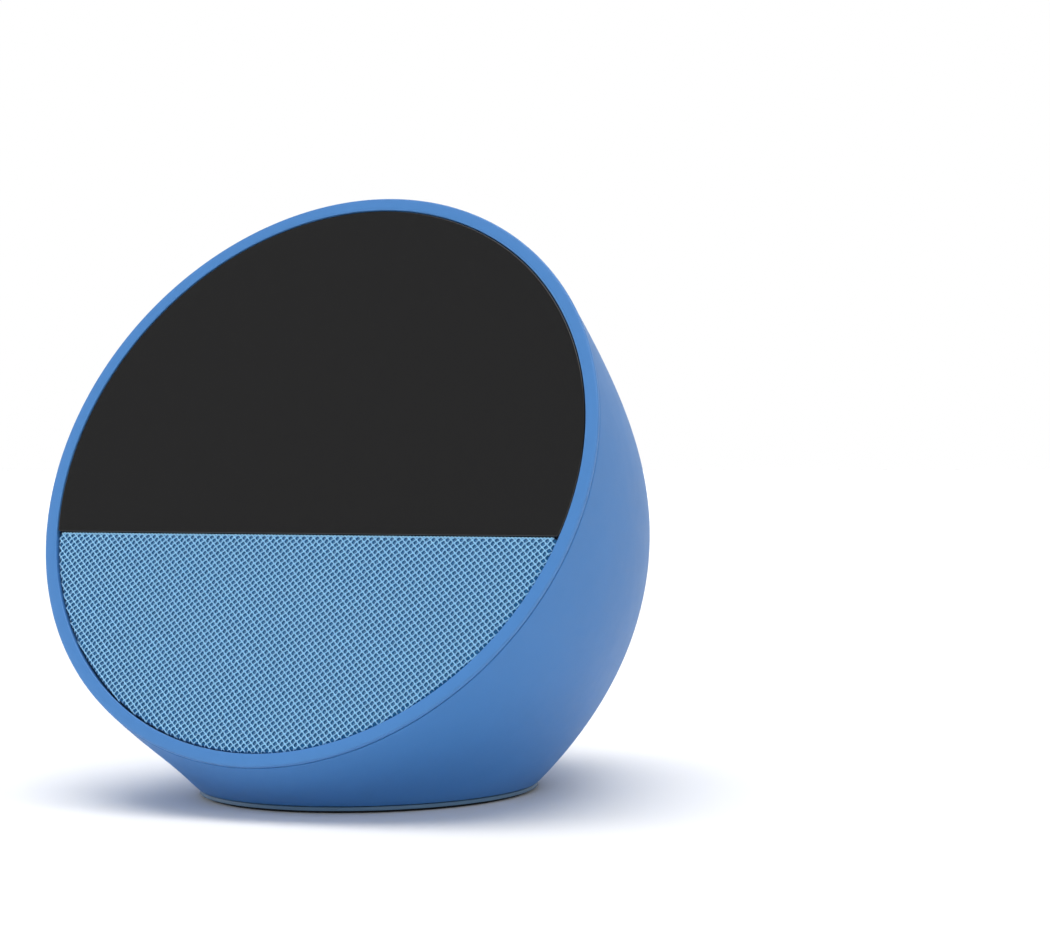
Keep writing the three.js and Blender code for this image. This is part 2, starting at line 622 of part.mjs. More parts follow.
/** A thin metal can, open towards the board. */
function shieldCan(x, y, width, height, depth) {
  const top = board.front - board.thickness - GAP;
  const skin = 0.4;
  const can = block([x - width / 2, y - height / 2, top - depth], [x + width / 2, y + height / 2, top]);
  return can.subtract(block([x - width / 2 + skin, y - height / 2 + skin, top - depth + skin],
    [x + width / 2 - skin, y + height / 2 - skin, top + 1]));
}

function mainBoard() {
  const half = board.width / 2;
  const outline = roundedRect(-half, half, board.low, board.high, 8);
  for (const x of [-board.screwX, board.screwX]) {
    for (const y of board.screwY) {
      outline.holes.push(new THREE.Path().absarc(x, y, 1.2, 0, 2 * Math.PI));
    }
  }
  return slab(outline, board.front, board.thickness, 5);
}

/** A flat sheet with both long edges folded towards the board. */
function heatSpreader() {
  const sheet = block([-25, 5, -19.9], [25, 32, -18.7]);
  return sheet.add(block([-25, 5, -19.5], [25, 6, -16])).add(block([-25, 31, -19.5], [25, 32, -16.4]));
}

place(faceGroup, 'main_board', mainBoard(), 'circuit_board');
place(faceGroup, 'processor_shield', shieldCan(-8, 18, 24, 20, 2.4), 'bare_steel');
place(faceGroup, 'wireless_shield', shieldCan(17, 20, 16, 14, 2), 'bare_steel');
place(faceGroup, 'thermal_pad', block([-17, 10.5, -18.4], [1, 25.5, -17.2]), 'pad_grey');
place(faceGroup, 'heat_spreader', heatSpreader(), 'bare_aluminium');
place(faceGroup, 'wireless_antenna', block([45.7, -2, -16], [46.3, 22, -8]), 'circuit_board');
[-1, 1].forEach((side) => board.screwY.forEach((y, i) => {
  const number = (side < 0 ? 1 : 3) + i;
  const headSeat = board.front - board.thickness - 0.05;
  const body = screw(4.8).translate(side * board.screwX, y, headSeat);
  place(faceGroup, `board_screw_${number}`, body, 'bare_steel');
}));

// ---------------------------------------------------------------- buttons

/** Cap that follows the housing's skin, with a lip that stops it falling out and a stem to its switch. */
function buttonCap(x) {
  const column = (radius) => toWorld(bar(radius, button.stemEnd + 1, 8, x), buttonGroup);
  const inside = form(-WALL - 1.2);
  const cap = column(button.radius).intersect(form(button.proud)).subtract(inside);
  const lip = column(button.flangeRadius).intersect(form(-WALL - 0.4)).subtract(inside);
  const drop = surfaceDrop(x) + WALL + 1;
  const stem = toWorld(bar(button.stem, button.stemEnd, -drop, x, 0, SCREW_ROUND), buttonGroup);
  return cap.add(lip).add(stem);
}

/** How far the housing's skin falls below the middle button at x. */
function surfaceDrop(x) {
  return x * x / 118;
}

function switchBody(x) {
  const half = tactSwitch.side / 2;
  const low = buttonBoard.top + GAP;
  const body = block([x - half, -half, low], [x + half, half, low + tactSwitch.height]);
  return body.subtract(bar(tactSwitch.plunger + GAP, low + 1.2, low + 5, x, 0, SCREW_ROUND + 2));
}

const switchTop = buttonBoard.top + GAP + tactSwitch.height;
const buttonNames = ['volume_down', 'mute', 'volume_up'];
buttonPlaces().forEach((x, i) => {
  const name = buttonNames[i];
  place(display, `${name}_button`, buttonCap(x), 'blue_plastic');
  place(buttonGroup, `${name}_switch`, switchBody(x), 'black_plastic');
  place(buttonGroup, `${name}_plunger`, bar(tactSwitch.plunger, switchTop - 0.95, switchTop + tactSwitch.proud,
    x, 0, SCREW_ROUND + 2), 'panel_white');
});

function buttonBoardSolid() {
  const half = buttonBoard.width / 2;
  const outline = roundedRect(-half, half, -buttonBoard.height / 2, buttonBoard.height / 2, 2);
  for (const side of [-1, 1]) {
    outline.holes.push(new THREE.Path().absarc(side * buttonBoard.screwX, 0, 1.2, 0, 2 * Math.PI));
  }
  return slab(outline, buttonBoard.top, buttonBoard.thickness, 5);
}

place(buttonGroup, 'button_board', buttonBoardSolid(), 'circuit_board');
[['left', -1], ['right', 1]].forEach(([label, side]) => {
  const x = side * microphone.x;
  const low = buttonBoard.top + GAP;
  place(buttonGroup, `microphone_${label}`, block([x - 1.5, -1.2, low], [x + 1.5, 1.2, low + 1]), 'brass');
  place(buttonGroup, `button_screw_${label}`, screw(4.2).translate(side * buttonBoard.screwX, 0,
    buttonBoard.top - buttonBoard.thickness - 0.05), 'bare_steel');
});
const buttonFlexLine = [[39.3, -13.2], [37.6, -16], [34.8, -16.6], [32.2, -15], [29, -14.75]];
place(faceGroup, 'button_flex', ribbon(buttonFlexLine, 0.25, 8), 'flex_film');

// ---------------------------------------------------------------- power socket

function jackBody() {
  const socket = socketBar(jack.recess - GAP, jack.back, jack.face);
  return socket.subtract(socketBar(jack.bore, jack.face - jack.boreDepth, jack.face + 1));
}

place(display, 'power_socket', jackBody(), 'black_plastic');
place(display, 'power_socket_pin', socketBar(1, jack.face - jack.boreDepth + GAP, jack.face - 1), 'brass');
const powerLeadLine = [[0, -9.7, -59.2], [0, -9, -54], [6, -2.5, -49.5], [16, 3, -38], [27, 3, -26],
  [31, 6, -15.2]];
place(faceGroup, 'power_lead', lead(powerLeadLine, 1), 'black_rubber');

export default display;
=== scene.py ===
"""Smart display: the detailed pieces, finishes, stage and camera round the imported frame.

Run it as a script. It is laid out as an add-on: sizes and colours are properties, each piece or group
of like pieces has an operator, and a panel in the 3D view's sidebar lists them.
"""
import json
import math

import bpy
import numpy as np
from mathutils import Matrix


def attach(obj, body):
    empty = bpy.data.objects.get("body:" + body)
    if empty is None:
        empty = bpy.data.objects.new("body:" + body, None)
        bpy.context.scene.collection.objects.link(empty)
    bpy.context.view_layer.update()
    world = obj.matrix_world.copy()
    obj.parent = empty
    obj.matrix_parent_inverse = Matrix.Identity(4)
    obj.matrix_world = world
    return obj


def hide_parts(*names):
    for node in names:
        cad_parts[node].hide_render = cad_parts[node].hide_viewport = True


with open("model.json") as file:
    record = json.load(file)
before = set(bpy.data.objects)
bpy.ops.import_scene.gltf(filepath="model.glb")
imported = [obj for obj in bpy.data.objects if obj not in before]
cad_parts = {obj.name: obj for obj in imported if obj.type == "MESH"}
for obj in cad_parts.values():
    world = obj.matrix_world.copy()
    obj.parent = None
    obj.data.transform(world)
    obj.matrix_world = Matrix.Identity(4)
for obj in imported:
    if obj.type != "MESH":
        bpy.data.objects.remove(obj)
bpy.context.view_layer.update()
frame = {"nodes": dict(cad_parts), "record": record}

bl_info = {
    "name": "Smart display builder",
    "version": (1, 0, 0),
    "blender": (4, 5, 0),
    "location": "3D View > Sidebar > Smart display",
    "description": "Builds the housing, bezel, screen, knitted grille, buttons and base of a smart display",
    "category": "Object",
}

MM = 0.001

# The face leans back; the housing's side curve runs from its rim to the base ring.
TILT = math.radians(27.2)
FACE_CENTRE = np.array([0.0, -18.2, 60.0])
FACE_NORMAL = np.array([0.0, -math.cos(TILT), math.sin(TILT)])
FACE_UP = np.array([0.0, math.sin(TILT), math.cos(TILT)])
ACROSS = np.array([1.0, 0.0, 0.0])
REARWARD = np.array([0.0, 1.0, 0.0])
UPRIGHT = np.array([0.0, 0.0, 1.0])

# Handle lengths in millimetres and leans in degrees at the back, the side and the front.
RIM_REACH = (61.0, 48.1, 5.2)
BASE_REACH = (63.5, 16.5, 5.3)
RIM_LEAN = (-12.1, -1.1, 6.6)
BASE_LEAN = (35.9, 44.8, 34.4)
BASE_RADIUS = 31.6
BASE_HEIGHT = 1.3

# How far down the back of the skin the buttons sit, as a share of its side curve, and the skin's rough
# radius and length there, for a first guess at a place on it.
BUTTON_SEAT = 0.09
SEAT_RADIUS = 55
SEAT_LENGTH = 170
BUTTON_NAMES = ("volume_down", "mute", "volume_up")

# Points along a half-moon's arc, its straight edge and each of its rounded ends.
ARC_POINTS = 220
FLAT_POINTS = 41
END_POINTS = 9


# ---------------------------------------------------------------- properties

def length_prop(label, about, default_mm):
    """A length property, in metres, with its default given in millimetres."""
    return bpy.props.FloatProperty(name=label, description=about, default=default_mm * MM, min=0.0,
                                   precision=5, unit="LENGTH")


def colour_prop(label, about, default):
    """A linear colour property."""
    return bpy.props.FloatVectorProperty(name=label, description=about, default=default, size=3,
                                         min=0.0, max=1.0, subtype="COLOR")


class DisplaySizes(bpy.types.PropertyGroup):
    """Sizes that a user may change."""

    face_radius: length_prop("Face radius", "Outer radius of the round face", 56.5)
    bezel_inner: length_prop("Bezel inner radius", "Inner radius of the bezel's flat ring", 54.05)
    bezel_edge: length_prop("Bezel edge", "Rounding of the bezel's outer edge", 0.35)
    seam: length_prop("Seam", "Gap between the bezel and the housing", 0.18)
    wall: length_prop("Wall", "Thickness of the housing's wall", 2.2)
    glass_radius: length_prop("Glass radius", "Radius of the half-moon glass", 53.85)
    divider: length_prop("Divider drop", "How far below the face's centre the glass meets the grille", 12.2)
    yarn_pitch: length_prop("Stitch width", "Distance between stitches along a row", 1.40)
    yarn_rows: length_prop("Stitch height", "Distance between every second row of stitches", 1.26)
    yarn_width: length_prop("Yarn width", "Width of the pale yarn", 0.27)
    button_radius: length_prop("Button radius", "Radius of each button's cap", 4.6)
    button_spacing: length_prop("Button spacing", "Distance between neighbouring buttons", 16.5)
    foot_radius: length_prop("Foot radius", "Radius of the rubber foot pad", 30.4)


class DisplayColours(bpy.types.PropertyGroup):
    """Colours that a user may change."""

    housing: colour_prop("Housing", "Matt plastic of the housing", (0.050, 0.190, 0.470))
    bezel: colour_prop("Bezel", "Satin plastic of the bezel", (0.060, 0.203, 0.490))
    base: colour_prop("Base", "Plastic of the base plate's bevel", (0.075, 0.155, 0.250))
    glass: colour_prop("Glass", "Printed dark cover glass", (0.0122, 0.0122, 0.0124))
    yarn: colour_prop("Pale yarn", "Pale yarn of the knit", (0.280, 0.600, 0.930))
    backing: colour_prop("Dark yarn", "Dark ground of the knit", (0.018, 0.115, 0.275))
    rubber: colour_prop("Rubber", "Foot pad and seals", (0.012, 0.012, 0.014))


def sizes():
    return bpy.context.scene.display_sizes


def colours():
    return bpy.context.scene.display_colours


def mm(name):
    """A size property in millimetres."""
    return getattr(sizes(), name) / MM


# ---------------------------------------------------------------- the housing's form

def eased(values, angle):
    """c0 + c1 cos(angle) + c2 cos(2 angle), through the values at the back, side and front."""
    back, side, front = values
    mean = (back + front) / 4 + side / 2
    return mean + (back - front) / 2 * np.cos(angle) + (mean - side) * np.cos(2 * angle)


def skin(angle, along):
    """Points of the outer skin in millimetres: a cubic Bezier curve from the rim to the base ring at each
    angle. The angle is measured round the face, 0 at the top and a quarter turn at +X; along runs from 0 at
    the rim to 1 at the base. Handle lengths and leans ease round by the cosine series of eased().
    """
    angle, along = np.broadcast_arrays(np.asarray(angle, float), np.asarray(along, float))
    sine = np.sin(angle)[..., None]
    cosine = np.cos(angle)[..., None]
    rim_out = sine * ACROSS + cosine * FACE_UP
    base_out = sine * ACROSS + cosine * REARWARD
    rim = FACE_CENTRE + mm("face_radius") * rim_out
    base = np.array([0.0, 0.0, BASE_HEIGHT]) + BASE_RADIUS * base_out
    rim_lean = np.radians(eased(RIM_LEAN, angle))[..., None]
    base_lean = np.radians(eased(BASE_LEAN, angle))[..., None]
    rim_reach = eased(RIM_REACH, angle)[..., None]
    base_reach = eased(BASE_REACH, angle)[..., None]
    first = rim + rim_reach * (rim_out * np.sin(rim_lean) - FACE_NORMAL * np.cos(rim_lean))
    second = base + base_reach * (base_out * np.cos(base_lean) + UPRIGHT * np.sin(base_lean))
    t = along[..., None]
    s = 1 - t
    return s ** 3 * rim + 3 * s * s * t * first + 3 * s * t * t * second + t ** 3 * base


def skin_outward(angle, along):
    """Unit outward direction of the skin, from the cross product of its two central differences."""
    step = 1e-4
    down = skin(angle, along + step) - skin(angle, along - step)
    turn = skin(angle + step, along) - skin(angle - step, along)
    outward = np.cross(turn, down)
    return outward / np.linalg.norm(outward, axis=-1, keepdims=True)


def along_where(angle, measure, low, high):
    """The place along each side curve where measure(point) falls through zero, by halving the interval."""
    low = np.full_like(angle, low)
    high = np.full_like(angle, high)
    for _ in range(40):
        middle = (low + high) / 2
        positive = measure(skin(angle, middle)) > 0
        low = np.where(positive, middle, low)
        high = np.where(positive, high, middle)
    return (low + high) / 2


def face_point(x, y, z):
    """Face coordinates (right, up the face, out of the face) to the object's frame, in millimetres."""
    x, y, z = np.broadcast_arrays(*(np.asarray(v, float) for v in (x, y, z)))
    return FACE_CENTRE + x[..., None] * ACROSS + y[..., None] * FACE_UP + z[..., None] * FACE_NORMAL


def depth_in_face(points):
    """Height of points out of the face's plane."""
    return (points - FACE_CENTRE) @ FACE_NORMAL


def button_frame():
    """Origin and axes at the middle button: right, down the back, and outward."""
    origin = skin(0.0, BUTTON_SEAT)
    outward = skin_outward(0.0, BUTTON_SEAT)
    return origin, np.cross(outward, ACROSS), outward


def button_point(x, y, z):
    """Button coordinates to the object's frame, in millimetres."""
    origin, down_back, outward = button_frame()
    x, y, z = np.broadcast_arrays(*(np.asarray(v, float) for v in (x, y, z)))
    return origin + x[..., None] * ACROSS + y[..., None] * down_back + z[..., None] * outward


def skin_height(x, y):
    """Height of the skin over the button plane at x, y, by Newton steps on the skin's two parameters."""
    origin, down_back, outward = button_frame()
    x, y = np.broadcast_arrays(np.asarray(x, float), np.asarray(y, float))
    angle = x / SEAT_RADIUS
    along = BUTTON_SEAT + y / SEAT_LENGTH
    step = 1e-4
    for _ in range(12):
        here = skin(angle, along) - origin
        by_angle = (skin(angle + step, along) - origin - here) / step
        by_along = (skin(angle, along + step) - origin - here) / step
        miss_x = here @ ACROSS - x
        miss_y = here @ down_back - y
        a, b = by_angle @ ACROSS, by_along @ ACROSS
        c, d = by_angle @ down_back, by_along @ down_back
        scale = a * d - b * c
        angle = angle - (d * miss_x - b * miss_y) / scale
        along = along - (a * miss_y - c * miss_x) / scale
    return (skin(angle, along) - origin) @ outward


# ---------------------------------------------------------------- meshes from arrays

def new_piece(name, points, quads=None, triangles=None, uv=None):
    """A mesh object at the origin from millimetre points and face index arrays."""
    faces = []
    if quads is not None:
        faces.append(np.asarray(quads).reshape(-1, 4))
    if triangles is not None:
        faces.append(np.asarray(triangles).reshape(-1, 3))
    corners = np.concatenate([f.ravel() for f in faces]).astype(np.int32)
    counts = np.concatenate([np.full(len(f), f.shape[1]) for f in faces])
    mesh = bpy.data.meshes.new(name)
    mesh.vertices.add(len(points))
    mesh.vertices.foreach_set("co", (np.asarray(points) * MM).astype(np.float32).ravel())
    mesh.loops.add(len(corners))
    mesh.loops.foreach_set("vertex_index", corners)
    mesh.polygons.add(len(counts))
    starts = np.concatenate([[0], np.cumsum(counts)[:-1]]).astype(np.int32)
    mesh.polygons.foreach_set("loop_start", starts)
    if uv is not None:
        layer = mesh.uv_layers.new(name="UVMap")
        layer.data.foreach_set("uv", np.asarray(uv, np.float32)[corners].ravel())
    mesh.update(calc_edges=True)
    mesh.validate()
    mesh.shade_smooth()
    piece = bpy.data.objects.new(name, mesh)
    bpy.context.scene.collection.objects.link(piece)
    return piece


def grid_faces(rows, count, closed=False):
    """Quads of a grid whose rows are rings of count points; closed also joins the last row to the first."""
    row = np.arange(rows if closed else rows - 1)[:, None]
    column = np.arange(count)[None, :]
    above = (row + 1) % rows
    right = (column + 1) % count
    corners = [row * count + column, row * count + right, above * count + right, above * count + column]
    return np.stack(corners, -1).reshape(-1, 4)


def stack(name, rings, closed=False):
    """A surface through a stack of closed rings; each end gets a fan, unless the stack is a torus."""
    rows, count = rings.shape[:2]
    points = rings.reshape(-1, 3)
    quads = grid_faces(rows, count, closed)
    if closed:
        return new_piece(name, points, quads=quads)
    hubs = np.stack([rings[0].mean(0), rings[-1].mean(0)])
    column = np.arange(count)
    right = (column + 1) % count
    first_hub = len(points)
    last_row = (rows - 1) * count
    fans = [np.stack([np.full(count, first_hub), right, column], -1),
            np.stack([np.full(count, first_hub + 1), last_row + column, last_row + right], -1)]
    return new_piece(name, np.concatenate([points, hubs]), quads=quads, triangles=np.concatenate(fans))


def point_outward(piece):
    """Turn every face out, judged by the sign of the enclosed volume."""
    mesh = piece.data
    mesh.calc_loop_triangles()
    corners = np.zeros(len(mesh.loop_triangles) * 3, np.int32)
    mesh.loop_triangles.foreach_get("vertices", corners)
    points = np.zeros(len(mesh.vertices) * 3, np.float32)
    mesh.vertices.foreach_get("co", points)
    a, b, c = points.reshape(-1, 3).astype(float)[corners.reshape(-1, 3)].transpose(1, 0, 2)
    if np.einsum("ij,ij->i", a, np.cross(b, c)).sum() < 0:
        mesh.flip_normals()
    return piece


def sharpen(piece, degrees=35):
    """Shade smooth, with edges steeper than the angle kept sharp."""
    piece.data.shade_smooth()
    piece.data.set_sharp_from_angle(angle=math.radians(degrees))
    return piece


def combine(piece, *steps):
    """Join, cut or trim a piece with other pieces, keep the result in its mesh and delete the others."""
    for operation, other in steps:
        modifier = piece.modifiers.new(operation.lower(), "BOOLEAN")
        modifier.operation = operation
        modifier.solver = "EXACT"
        modifier.object = other
    bpy.context.view_layer.update()
    graph = bpy.context.evaluated_depsgraph_get()
    mesh = bpy.data.meshes.new_from_object(piece.evaluated_get(graph))
    piece.modifiers.clear()
    piece.data = mesh
    for _, other in steps:
        bpy.data.objects.remove(other)
    return piece


def rounded(profile, radius, steps=5):
    """Round the corners of a closed [r, z] profile with quadratic curves, by one radius or one each."""
    profile = np.asarray(profile, float)
    radii = np.broadcast_to(np.asarray(radius, float), len(profile))
    out = []
    t = np.linspace(0, 1, steps)[:, None]
    for before, corner, after, limit in zip(np.roll(profile, 1, 0), profile, np.roll(profile, -1, 0), radii):
        if limit <= 0:
            out.append(corner[None])
            continue
        to_before, to_after = before - corner, after - corner
        size_before, size_after = np.linalg.norm(to_before), np.linalg.norm(to_after)
        cut = min(limit, size_before * 0.49, size_after * 0.49)
        start = corner + to_before / size_before * cut
        end = corner + to_after / size_after * cut
        out.append((1 - t) ** 2 * start + 2 * t * (1 - t) * corner + t ** 2 * end)
    return np.concatenate(out)


def turned(name, profile, place, segments, closed=True):
    """A piece turned from an [r, z] profile; place(x, y, z) puts it in the object's frame. A closed profile
    makes a ring. An open one starts and ends near the axis, and is closed there by fans."""
    angle = np.linspace(0, 2 * math.pi, segments, endpoint=False)[None, :]
    profile = np.asarray(profile, float)
    radius, height = profile[:, 0:1], profile[:, 1:2]
    rings = place(radius * np.cos(angle), radius * np.sin(angle), height + 0 * angle)
    return sharpen(point_outward(stack(name, rings, closed=closed)))


def world_point(x, y, z):
    """Plain object coordinates."""
    return np.stack(np.broadcast_arrays(x, y, z), -1)


def half_moon(radius, chord, corner, above, inset=0.0):
    """Outline of a disc cut by the line y = chord, both ends rounded, moved inwards by inset."""
    radius = radius - inset
    corner = max(corner - inset, 0.05)
    chord = chord + inset if above else chord - inset
    side = 1 if above else -1
    # centre of each corner's arc: a corner radius off the chord and off the circle
    level = chord + side * corner
    reach = math.sqrt((radius - corner) ** 2 - level ** 2)
    start = math.atan2(level, reach)
    end = math.pi - start if above else -math.pi - start
    big = np.linspace(start, end, ARC_POINTS)
    arc = np.stack([radius * np.cos(big), radius * np.sin(big)], -1)
    turn = np.linspace(0, 1, END_POINTS)[1:-1]
    left_from, left_to = end, (1.5 * math.pi if above else -1.5 * math.pi)
    right_from, right_to = -side * math.pi / 2, start
    left = left_from + (left_to - left_from) * turn
    right = right_from + (right_to - right_from) * turn
    left_arc = np.stack([-reach + corner * np.cos(left), level + corner * np.sin(left)], -1)
    right_arc = np.stack([reach + corner * np.cos(right), level + corner * np.sin(right)], -1)
    steps = np.linspace(-1, 1, FLAT_POINTS)[:, None]
    flat = np.concatenate([steps * reach, np.full((FLAT_POINTS, 1), chord)], -1)
    return np.concatenate([arc, left_arc, flat, right_arc])


def quarter_round(edge, front, inset=0.0):
    """[inset, z] rows of a plate's edge: a quarter circle from its front plane round to its side."""
    turn = np.linspace(math.pi / 2, 0, 7)
    return [(edge * (1 - math.cos(a)) + inset, front - edge + edge * math.sin(a)) for a in turn]


def plate(name, outline, profile):
    """A flat plate: outline(inset) at each [inset, z] row of its edge profile."""
    rings = []
    for inset, height in profile:
        ring = outline(inset)
        rings.append(face_point(ring[:, 0], ring[:, 1], height))
    return sharpen(point_outward(stack(name, np.stack(rings))), 50)


# ---------------------------------------------------------------- materials

class Finish:
    """Builds one node material with a Principled shader. Noise scales count features per metre."""

    def __init__(self, name, **sockets):
        self.material = bpy.data.materials.new(name)
        self.material.use_nodes = True
        self.tree = self.material.node_tree
        self.shader = self.tree.nodes["Principled BSDF"]
        for label, value in sockets.items():
            socket = self.shader.inputs[label.replace("_", " ")]
            socket.default_value = (*value, 1.0) if len(np.shape(value)) else value
        self.coords = self.node("ShaderNodeTexCoord")

    def node(self, kind, **settings):
        made = self.tree.nodes.new(kind)
        for key, value in settings.items():
            if hasattr(made, key):
                setattr(made, key, value)
            else:
                made.inputs[key.replace("_", " ")].default_value = value
        return made

    def link(self, source, target):
        self.tree.links.new(source, target)

    def noise(self, scale, detail=3.0, roughness=0.5, where=None):
        made = self.node("ShaderNodeTexNoise", Scale=scale, Detail=detail, Roughness=roughness)
        self.link(where or self.coords.outputs["Object"], made.inputs["Vector"])
        return made.outputs["Fac"]

    def calc(self, operation, *values):
        """A math node on sockets and plain numbers."""
        made = self.node("ShaderNodeMath", operation=operation)
        for index, value in enumerate(values):
            if isinstance(value, float):
                made.inputs[index].default_value = value
            else:
                self.link(value, made.inputs[index])
        return made.outputs[0]

    def spread(self, value, low, high):
        """Map a 0 to 1 value to low..high."""
        made = self.node("ShaderNodeMapRange")
        made.inputs["To Min"].default_value = low
        made.inputs["To Max"].default_value = high
        self.link(value, made.inputs["Value"])
        return made.outputs["Result"]

    def blend(self, value, first, second):
        """Mix two colours by a value."""
        made = self.node("ShaderNodeMix", data_type="RGBA")
        made.inputs[6].default_value = (*first, 1.0)
        made.inputs[7].default_value = (*second, 1.0)
        self.link(value, made.inputs[0])
        return made.outputs[2]

    def bump(self, height, distance, strength=1.0, under=None):
        made = self.node("ShaderNodeBump", Distance=distance, Strength=strength)
        self.link(height, made.inputs["Height"])
        if under is not None:
            self.link(under, made.inputs["Normal"])
        return made.outputs["Normal"]

    def set(self, label, value):
        self.link(value, self.shader.inputs[label])


def shade(colour, factor):
    """A colour made lighter or darker."""
    return tuple(min(1.0, c * factor) for c in colour)


def moulded_plastic(name, colour, rough=0.5, grain=2600, depth=0.000012, wear=0.06):
    """Moulded plastic: spark-eroded grain, a slow drift of tone and uneven gloss."""
    finish = Finish(name, IOR=1.46, Specular_IOR_Level=0.42)
    tone = finish.noise(38, 4, 0.55)
    finish.set("Base Color", finish.blend(tone, shade(colour, 1 - wear), shade(colour, 1 + wear)))
    grit = finish.noise(grain, 2, 0.6)
    finish.set("Roughness", finish.spread(finish.noise(260, 3), rough - 0.05, rough + 0.05))
    finish.set("Normal", finish.bump(grit, depth, 0.8))
    return finish.material


def cover_glass(name, colour):
    """Dark printed glass: smooth, with faint smears in its gloss."""
    finish = Finish(name, IOR=1.5, Specular_IOR_Level=0.5)
    smear = finish.noise(55, 5, 0.6)
    finish.set("Roughness", finish.spread(smear, 0.05, 0.09))
    finish.set("Base Color", finish.blend(finish.noise(400, 2), shade(colour, 0.97), shade(colour, 1.03)))
    return finish.material


def rubber(name, colour):
    """Matt rubber with fine pitting."""
    finish = Finish(name, IOR=1.5, Specular_IOR_Level=0.3)
    finish.set("Base Color", finish.blend(finish.noise(120, 3), shade(colour, 0.85), shade(colour, 1.3)))
    finish.set("Roughness", finish.spread(finish.noise(500, 3), 0.72, 0.9))
    finish.set("Normal", finish.bump(finish.noise(3500, 3, 0.7), 0.00002, 0.7))
    return finish.material


def yarn(name, colour):
    """Twisted yarn: the sine of a slant over its UV map draws the plies, in relief and as painted shade in
    the grooves between them, with stray fibres and a sheen.
    """
    finish = Finish(name, Roughness=0.82, Specular_IOR_Level=0.25, Sheen_Weight=0.35, Sheen_Roughness=0.45)
    split = finish.node("ShaderNodeSeparateXYZ")
    finish.link(finish.coords.outputs["UV"], split.inputs["Vector"])
    plies = 2
    around = finish.calc("MULTIPLY", split.outputs["Y"], 2 * math.pi * plies)
    slant = finish.calc("MULTIPLY_ADD", split.outputs["X"], 9.0, around)
    ply = finish.calc("MULTIPLY_ADD", finish.calc("SINE", slant), 0.5, 0.5)
    height = finish.calc("MULTIPLY_ADD", finish.noise(9000, 4, 0.7), 0.6, ply)
    # the colour follows the ply wave and is darker in the grooves between plies, which is painted shade; the
    # noise adds a random tone
    tone = finish.calc("MULTIPLY", ply, finish.noise(900, 3))
    finish.set("Base Color", finish.blend(tone, shade(colour, 0.78), shade(colour, 1.2)))
    finish.set("Normal", finish.bump(height, 0.00002, 0.6))
    return finish.material


def ground_cloth(name, colour):
    """Dark ground of the knit: soft mottled fibres."""
    finish = Finish(name, Specular_IOR_Level=0.15, Sheen_Weight=0.15)
    mottle = finish.noise(1500, 4, 0.65)
    finish.set("Base Color", finish.blend(mottle, shade(colour, 0.6), shade(colour, 1.5)))
    finish.set("Roughness", finish.spread(finish.noise(2500, 2), 0.85, 0.98))
    finish.set("Normal", finish.bump(finish.noise(5200, 4, 0.7), 0.00006, 0.8))
    return finish.material


def sheet_metal(name, colour, rough=0.32, stretch=(1, 1, 14)):
    """Rolled metal: fine lines along one direction and a faint mottle."""
    finish = Finish(name, Metallic=1.0)
    place = finish.node("ShaderNodeMapping")
    place.inputs["Scale"].default_value = stretch
    finish.link(finish.coords.outputs["Object"], place.inputs["Vector"])
    lines = finish.noise(700, 4, 0.6, place.outputs["Vector"])
    finish.set("Base Color", finish.blend(finish.noise(90, 3), shade(colour, 0.88), shade(colour, 1.06)))
    finish.set("Roughness", finish.spread(lines, rough - 0.08, rough + 0.12))
    finish.set("Normal", finish.bump(lines, 0.00001, 0.5))
    return finish.material


def solder_mask(name, colour):
    """Circuit board: tracks under a green mask, from a brick pattern, with bright pads."""
    finish = Finish(name, Roughness=0.38, Coat_Weight=0.3, Coat_Roughness=0.2)
    bricks = finish.node("ShaderNodeTexBrick", Scale=320.0, offset=0.5)
    bricks.inputs["Mortar Size"].default_value = 0.08
    bricks.inputs["Color1"].default_value = (*shade(colour, 1.5), 1.0)
    bricks.inputs["Color2"].default_value = (*colour, 1.0)
    bricks.inputs["Mortar"].default_value = (*shade(colour, 0.5), 1.0)
    finish.link(finish.coords.outputs["Object"], bricks.inputs["Vector"])
    finish.set("Base Color", bricks.outputs["Color"])
    finish.set("Normal", finish.bump(bricks.outputs["Fac"], 0.00003, 0.5))
    return finish.material


def banded(name, colour, scale, bright, depth, strength, wobble=0.0, along="X", **sockets):
    """Close parallel bands: copper tracks across a flex film, or the turns of a wound coil."""
    finish = Finish(name, **sockets)
    wave = finish.node("ShaderNodeTexWave", Scale=scale, Distortion=wobble, bands_direction=along)
    finish.link(finish.coords.outputs["Object"], wave.inputs["Vector"])
    # darker between the bands: on the flex film this is the film between copper tracks, on a coil it is
    # painted shade in the grooves between turns
    finish.set("Base Color", finish.blend(wave.outputs["Fac"], shade(colour, 0.6), shade(colour, bright)))
    finish.set("Normal", finish.bump(wave.outputs["Fac"], depth, strength))
    return finish.material


def paint(piece, material):
    """Give a piece one material."""
    piece.data.materials.clear()
    piece.data.materials.append(material)
    return piece


def finish_piece(piece, material, body, slot, *nodes):
    """Paint a finished piece, ride it on its body and hide the nodes it stands for."""
    paint(piece, material)
    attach(piece, body)
    if nodes:
        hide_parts(*nodes)
    return piece


# ---------------------------------------------------------------- pieces

